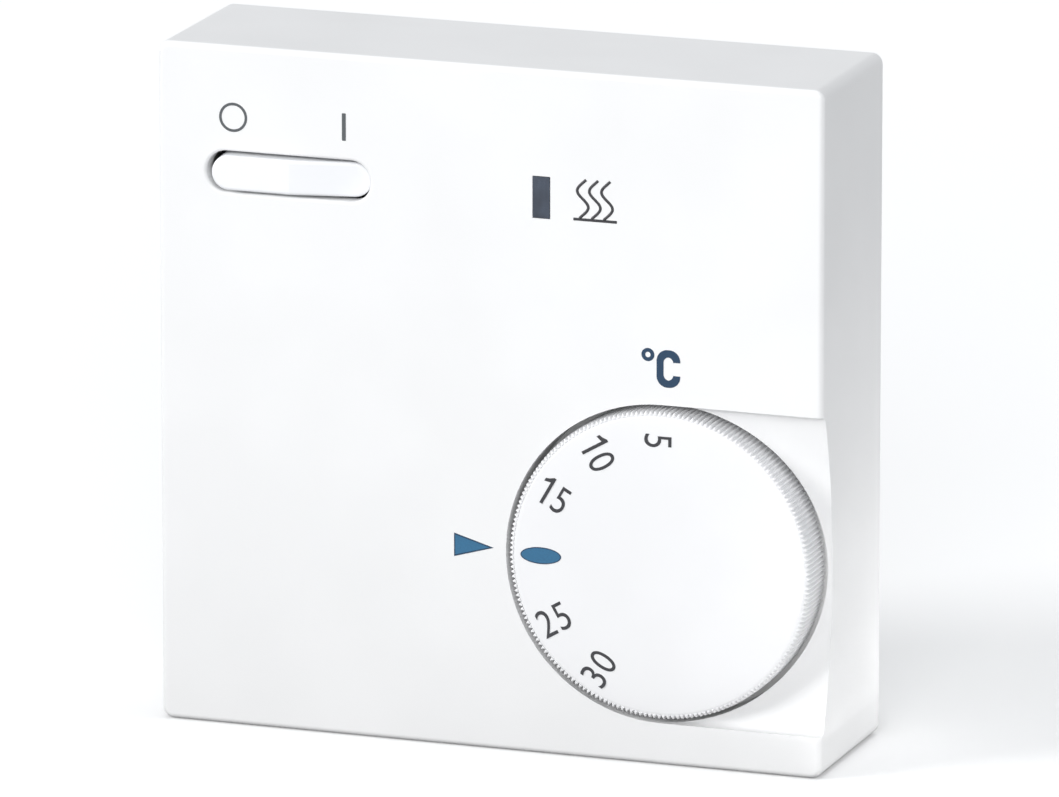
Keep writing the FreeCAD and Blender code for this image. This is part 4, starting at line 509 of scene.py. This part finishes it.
def printDialMark():
    x = dialMiddle.x / mm - scale["markRadius"]
    z = dialMiddle.z / mm
    outer = circleRing(x, z, scale["markHalf"], 72, scale["markSquash"])
    inner = circleRing(x, z, scale["markHalf"] - scale["markEdge"], 72,
                       scale["markSquash"] * 0.92)
    joinMeshes("dial_mark_edge", [inkMesh(flatCurve("markEdge", [outer, inner]), Matrix(), dialFront)],
               inks["navyInk"], "dial")
    joinMeshes("dial_mark_fill", [inkMesh(flatCurve("markFill", [inner]), Matrix(), dialFront)],
               inks["blueInk"], "dial")


# what repeats, by Geometry Nodes

def newTree(name, inputs):
    tree = bpy.data.node_groups.new(name, "GeometryNodeTree")
    for label, kind, value in inputs:
        socket = tree.interface.new_socket(label, in_out="INPUT", socket_type="NodeSocket" + kind)
        if value is not None:
            socket.default_value = value
    tree.interface.new_socket("Geometry", in_out="OUTPUT", socket_type="NodeSocketGeometry")
    return tree, tree.nodes.new("NodeGroupInput").outputs, tree.nodes.new("NodeGroupOutput")


def addNode(tree, kind, settings=None, **links):
    node = tree.nodes.new(kind)
    for key, value in (settings or {}).items():
        setattr(node, key, value)
    for key, value in links.items():
        numbered = key[0] == "i" and key[1:].isdigit()  # i0 is the first input, i1 the second
        socket = node.inputs[int(key[1:]) if numbered else key.replace("_", " ")]
        if isinstance(value, bpy.types.NodeSocket):
            tree.links.new(value, socket)
        else:
            socket.default_value = value
    return node


def math2(tree, operation, first, second=0.0):
    return addNode(tree, "ShaderNodeMath", {"operation": operation}, i0=first, i1=second).outputs[0]


def growPiece(name, tree, values, finish, body):
    host = bpy.data.objects.new(name, bpy.data.meshes.new(name + "Seed"))
    bpy.context.scene.collection.objects.link(host)
    modifier = host.modifiers.new("grow", "NODES")
    modifier.node_group = tree
    for item in tree.interface.items_tree:
        if item.in_out == "INPUT" and item.name in values:
            modifier[item.identifier] = values[item.name]
    bpy.context.view_layer.update()
    grown = bpy.data.meshes.new_from_object(host.evaluated_get(bpy.context.evaluated_depsgraph_get()))
    bpy.data.objects.remove(host)
    grown.name = name
    grown.materials.clear()
    grown.materials.append(finish.material)
    piece = bpy.data.objects.new(name, grown)
    bpy.context.scene.collection.objects.link(piece)
    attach(piece, body)
    return piece


dial = {
    "teeth": 200,
    "radius": 16.9,
    "toothDepth": 0.34,
    "toothRoot": 0.4,
    "toothTip": 0.22,
    "frontRound": 0.45,
    "crown": 0.05,
    "wall": 1.7,
    "face": 1.6,
    "steps": 200,
}


def toothObject():
    half = (dialHigh.y - dialLow.y) / 2 / mm
    frontDrop = dial["frontRound"]
    root = dial["toothRoot"] / 2
    tip = dial["toothTip"] / 2
    deep = dial["toothDepth"]
    section = [(-root, -0.1), (-root, 0.02), (-tip, 0.72 * deep), (-0.5 * tip, deep),
               (0.5 * tip, deep), (tip, 0.72 * deep), (root, 0.02), (root, -0.1)]
    # each station: place along the axis, how far the tooth's tip is lowered there
    stations = [(half, 0.0), (-half + frontDrop + 0.5, 0.0), (-half + 0.55 * frontDrop, 0.12 * deep),
                (-half + 0.25 * frontDrop, 0.45 * deep), (-half + 0.08 * frontDrop, 0.95 * deep)]
    tooth = bmesh.new()
    rings = []
    for along, drop in stations:
        rings.append([tooth.verts.new((max(out - drop, -0.1) * mm, along * mm, side * mm))
                      for side, out in section])
    for back, front in zip(rings, rings[1:]):
        for a in range(len(section)):
            b = (a + 1) % len(section)
            tooth.faces.new((back[a], back[b], front[b], front[a]))
    tooth.faces.new(rings[0])
    tooth.faces.new(list(reversed(rings[-1])))
    bmesh.ops.recalc_face_normals(tooth, faces=tooth.faces)
    mesh = bpy.data.meshes.new("tooth")
    tooth.to_mesh(mesh)
    tooth.free()
    return bpy.data.objects.new("tooth", mesh)


def knurlTree():
    tree, given, result = newTree("dialKnurl", [
        ("Tooth", "Object", None), ("Teeth", "Int", 200), ("Drum Radius", "Float", 0.0166),
        ("Middle", "Vector", None), ("Finish", "Material", None)])
    tree.links.new(given["Tooth"], addNode(tree, "GeometryNodeObjectInfo").inputs["Object"])
    info = tree.nodes[-1]
    ring = addNode(tree, "GeometryNodeMeshCircle", {"fill_type": "NONE"},
                   Vertices=given["Teeth"], Radius=given["Drum Radius"])
    spot = addNode(tree, "GeometryNodeInputPosition").outputs[0]
    facing = addNode(tree, "FunctionNodeAlignRotationToVector", {"axis": "X"}, Vector=spot)
    lay = addNode(tree, "FunctionNodeRotateRotation", {"rotation_space": "LOCAL"})
    tree.links.new(facing.outputs[0], lay.inputs[0])
    lay.inputs[1].default_value = (math.radians(-90), 0, 0)
    placed = addNode(tree, "GeometryNodeInstanceOnPoints", Points=ring.outputs[0],
                     Instance=info.outputs["Geometry"], Rotation=lay.outputs[0])
    real = addNode(tree, "GeometryNodeRealizeInstances", Geometry=placed.outputs[0])
    stood = addNode(tree, "GeometryNodeTransform", Geometry=real.outputs[0],
                    Translation=given["Middle"], Rotation=(math.radians(90), 0, 0))
    painted = addNode(tree, "GeometryNodeSetMaterial", Geometry=stood.outputs[0],
                      Material=given["Finish"])
    tree.links.new(painted.outputs[0], result.inputs[0])
    return tree


def buildDialShell():
    radius = dial["radius"] - dial["toothDepth"]
    front = dialLow.y / mm
    rear = dialHigh.y / mm
    bend = dial["frontRound"]
    profile = [(0.0, front)]
    crownSteps = 10
    for step in range(1, crownSteps + 1):
        out = step / crownSteps
        profile.append(((radius - bend) * out, front + dial["crown"] * out ** 6))
    for step in range(1, 9):
        turn = math.radians(90 * step / 8)
        profile.append((radius - bend + bend * math.sin(turn),
                        front + dial["crown"] + (bend - dial["crown"]) * (1 - math.cos(turn))))
    inside = radius - dial["wall"]
    under = front + dial["face"]
    profile += [(radius, rear), (inside, rear), (inside, under), (0.0, under)]
    steps = dial["steps"]
    shell = bmesh.new()
    chain = [shell.verts.new((out * mm, along * mm, 0)) for out, along in profile]
    edges = [shell.edges.new(pair) for pair in zip(chain, chain[1:])]
    bmesh.ops.spin(shell, geom=chain + edges, cent=(0, 0, 0), axis=(0, 1, 0), angle=2 * math.pi,
                   steps=steps, use_merge=True, use_duplicate=False)
    bmesh.ops.remove_doubles(shell, verts=shell.verts, dist=0.001 * mm)
    bmesh.ops.recalc_face_normals(shell, faces=shell.faces)
    bmesh.ops.translate(shell, verts=shell.verts, vec=(dialMiddle.x, 0, dialMiddle.z))
    mesh = bpy.data.meshes.new("dial_shell")
    shell.to_mesh(mesh)
    shell.free()
    mesh.shade_smooth()
    mesh.set_sharp_from_angle(angle=math.radians(35))
    mesh.materials.append(finishes["dial_white"].material)
    piece = bpy.data.objects.new("dial_shell", mesh)
    bpy.context.scene.collection.objects.link(piece)
    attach(piece, "dial")
    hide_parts("setting_dial")


def buildDialTeeth():
    tooth = toothObject()
    values = {"Tooth": tooth, "Teeth": dial["teeth"], "Middle": dialMiddle,
              "Drum Radius": (dial["radius"] - dial["toothDepth"]) * mm,
              "Finish": finishes["dial_white"].material}
    growPiece("dial_teeth", knurlTree(), values, finishes["dial_white"], "dial")
    bpy.data.objects.remove(tooth)
    print("dial ready,", dial["teeth"], "teeth")


def wavesTree():
    tree, given, result = newTree("heatWaves", [
        ("Count", "Int", 3), ("Pitch", "Float", 0.00136), ("Height", "Float", 0.004),
        ("Sway", "Float", 0.0006), ("Line", "Float", 0.0003), ("Thickness", "Float", 0.00006),
        ("Start", "Vector", None), ("Finish", "Material", None)])
    top = addNode(tree, "ShaderNodeCombineXYZ", Z=given["Height"]).outputs[0]
    stem = addNode(tree, "GeometryNodeCurvePrimitiveLine", Start=(0, 0, 0), End=top)
    fine = addNode(tree, "GeometryNodeResampleCurve", Curve=stem.outputs[0], Count=40)
    share = addNode(tree, "GeometryNodeSplineParameter").outputs["Factor"]
    swing = math2(tree, "MULTIPLY", math2(tree, "MULTIPLY_ADD", share, 1.2), 2 * math.pi)
    tree.nodes[-2].inputs[2].default_value = -0.1
    sway = math2(tree, "MULTIPLY", math2(tree, "SINE", swing), given["Sway"])
    bent = addNode(tree, "GeometryNodeSetPosition", Geometry=fine.outputs[0],
                   Offset=addNode(tree, "ShaderNodeCombineXYZ", X=sway).outputs[0])
    step = addNode(tree, "ShaderNodeCombineXYZ", X=given["Pitch"]).outputs[0]
    row = addNode(tree, "GeometryNodeMeshLine", Count=given["Count"], Offset=step)
    placed = addNode(tree, "GeometryNodeInstanceOnPoints", Points=row.outputs[0],
                     Instance=bent.outputs[0])
    real = addNode(tree, "GeometryNodeRealizeInstances", Geometry=placed.outputs[0])
    nib = addNode(tree, "GeometryNodeCurvePrimitiveQuadrilateral", Width=given["Thickness"],
                  Height=given["Line"])
    drawn = addNode(tree, "GeometryNodeCurveToMesh", Curve=real.outputs[0], Profile_Curve=nib.outputs[0])
    drawn.inputs["Fill Caps"].default_value = True
    moved = addNode(tree, "GeometryNodeTransform", Geometry=drawn.outputs[0], Translation=given["Start"])
    painted = addNode(tree, "GeometryNodeSetMaterial", Geometry=moved.outputs[0],
                      Material=given["Finish"])
    tree.links.new(painted.outputs[0], result.inputs[0])
    return tree


def printHeatingMark():
    heating = marks["heating"]
    middle = (heating["left"] + heating["right"]) / 2
    foot = heating["low"] + 0.4 * heating["line"]
    start = Vector(((middle - 0.03 - heating["pitch"]) * mm, caseFront, foot * mm))
    values = {"Count": heating["waves"], "Pitch": heating["pitch"] * mm, "Start": start,
              "Height": (heating["high"] - foot) * mm, "Sway": heating["sway"] * mm,
              "Line": heating["line"] * mm, "Thickness": heating["thickness"] * mm,
              "Finish": inks["darkInk"].material}
    growPiece("heating_waves", wavesTree(), values, inks["darkInk"], "root")
    bar = barRing(middle, heating["low"], heating["right"] - heating["left"], heating["line"])
    base = inkMesh(flatCurve("heatingBase", [bar]), Matrix(), caseFront)
    joinMeshes("heating_base", [base], inks["darkInk"], "root")


cards = {  # sheets just under the floor, unseen by the camera, that only tint the light thrown back up onto the case: the dark front sheet paints shade on the lower front, the glowing right sheet paints light on the lower right side
    # dark sheet that paints shade on the lower front of the case
    "frontCard": {"left": -110.0, "right": 110.0, "near": 0.0, "far": -62.0, "glow": 0.01},
    # glowing sheet that paints light on the lower right side of the case
    "rightCard": {"left": 38.0, "right": 190.0, "near": 80.0, "far": -60.0, "glow": 3.4},
}


def addCard(name, left, right, near, far, glow):
    mesh = bpy.data.meshes.new(name)
    corners = [(left, far), (right, far), (right, near), (left, near)]
    mesh.from_pydata([(x * mm, y * mm, caseLow.z - 0.3 * mm) for x, y in corners], [], [(0, 1, 2, 3)])
    sheet = bpy.data.objects.new(name, mesh)
    bpy.context.scene.collection.objects.link(sheet)
    finish = Finish(name, roughness=0.9)
    weave = finish.noise(400.0)
    # dark sheet colour: painted shade thrown back onto the case wherever the sheet does not glow
    stops = [(0.3, (0.1, 0.1, 0.1, 1)), (0.7, (0.13, 0.13, 0.13, 1))]
    finish.feed("Base Color", finish.ramp(weave, stops))
    finish.shader.inputs["Emission Color"].default_value = (1, 1, 1, 1)
    # the glow paints light onto the case from below
    finish.shader.inputs["Emission Strength"].default_value = glow
    mesh.materials.append(finish.material)
    sheet.visible_camera = False
    sheet.visible_shadow = False
    sheet.visible_transmission = False
    sheet.visible_glossy = False


def addFloor():
    size = 12.0
    mesh = bpy.data.meshes.new("floor")
    corners = [(-size, -size, 0), (size, -size, 0), (size, size, 0), (-size, size, 0)]
    mesh.from_pydata([(x, y, caseLow.z - 0.05 * mm) for x, y, z in corners], [], [(0, 1, 2, 3)])
    floor = bpy.data.objects.new("floor", mesh)
    bpy.context.scene.collection.objects.link(floor)
    finish = Finish("paleFloor", roughness=0.9)
    clouds = finish.noise(3.0, 2.0)
    stops = [(0.3, (0.93, 0.93, 0.93, 1)), (0.7, (0.95, 0.95, 0.95, 1))]
    finish.feed("Base Color", finish.ramp(clouds, stops))
    finish.shader.inputs["Emission Color"].default_value = (1, 1, 1, 1)
    finish.shader.inputs["Emission Strength"].default_value = 0.16  # keeps the sheet white
    floor.data.materials.append(finish.material)
    floor.visible_diffuse = False  # the cards under it throw the light back instead


addCamera()
for lampName, lampValues in lamps.items():
    addLamp(lampName, **lampValues)
addRoom()
addFloor()
for cardName, cardValues in cards.items():
    addCard(cardName, **cardValues)
print("camera, lamps and floor ready")
paintNodes()
buildDialShell()
buildDialTeeth()
printSwitchMarks()
printDegreeMark()
printPointer()
printHeatingMark()
printScale()
printDialMark()
print("printed marks ready")
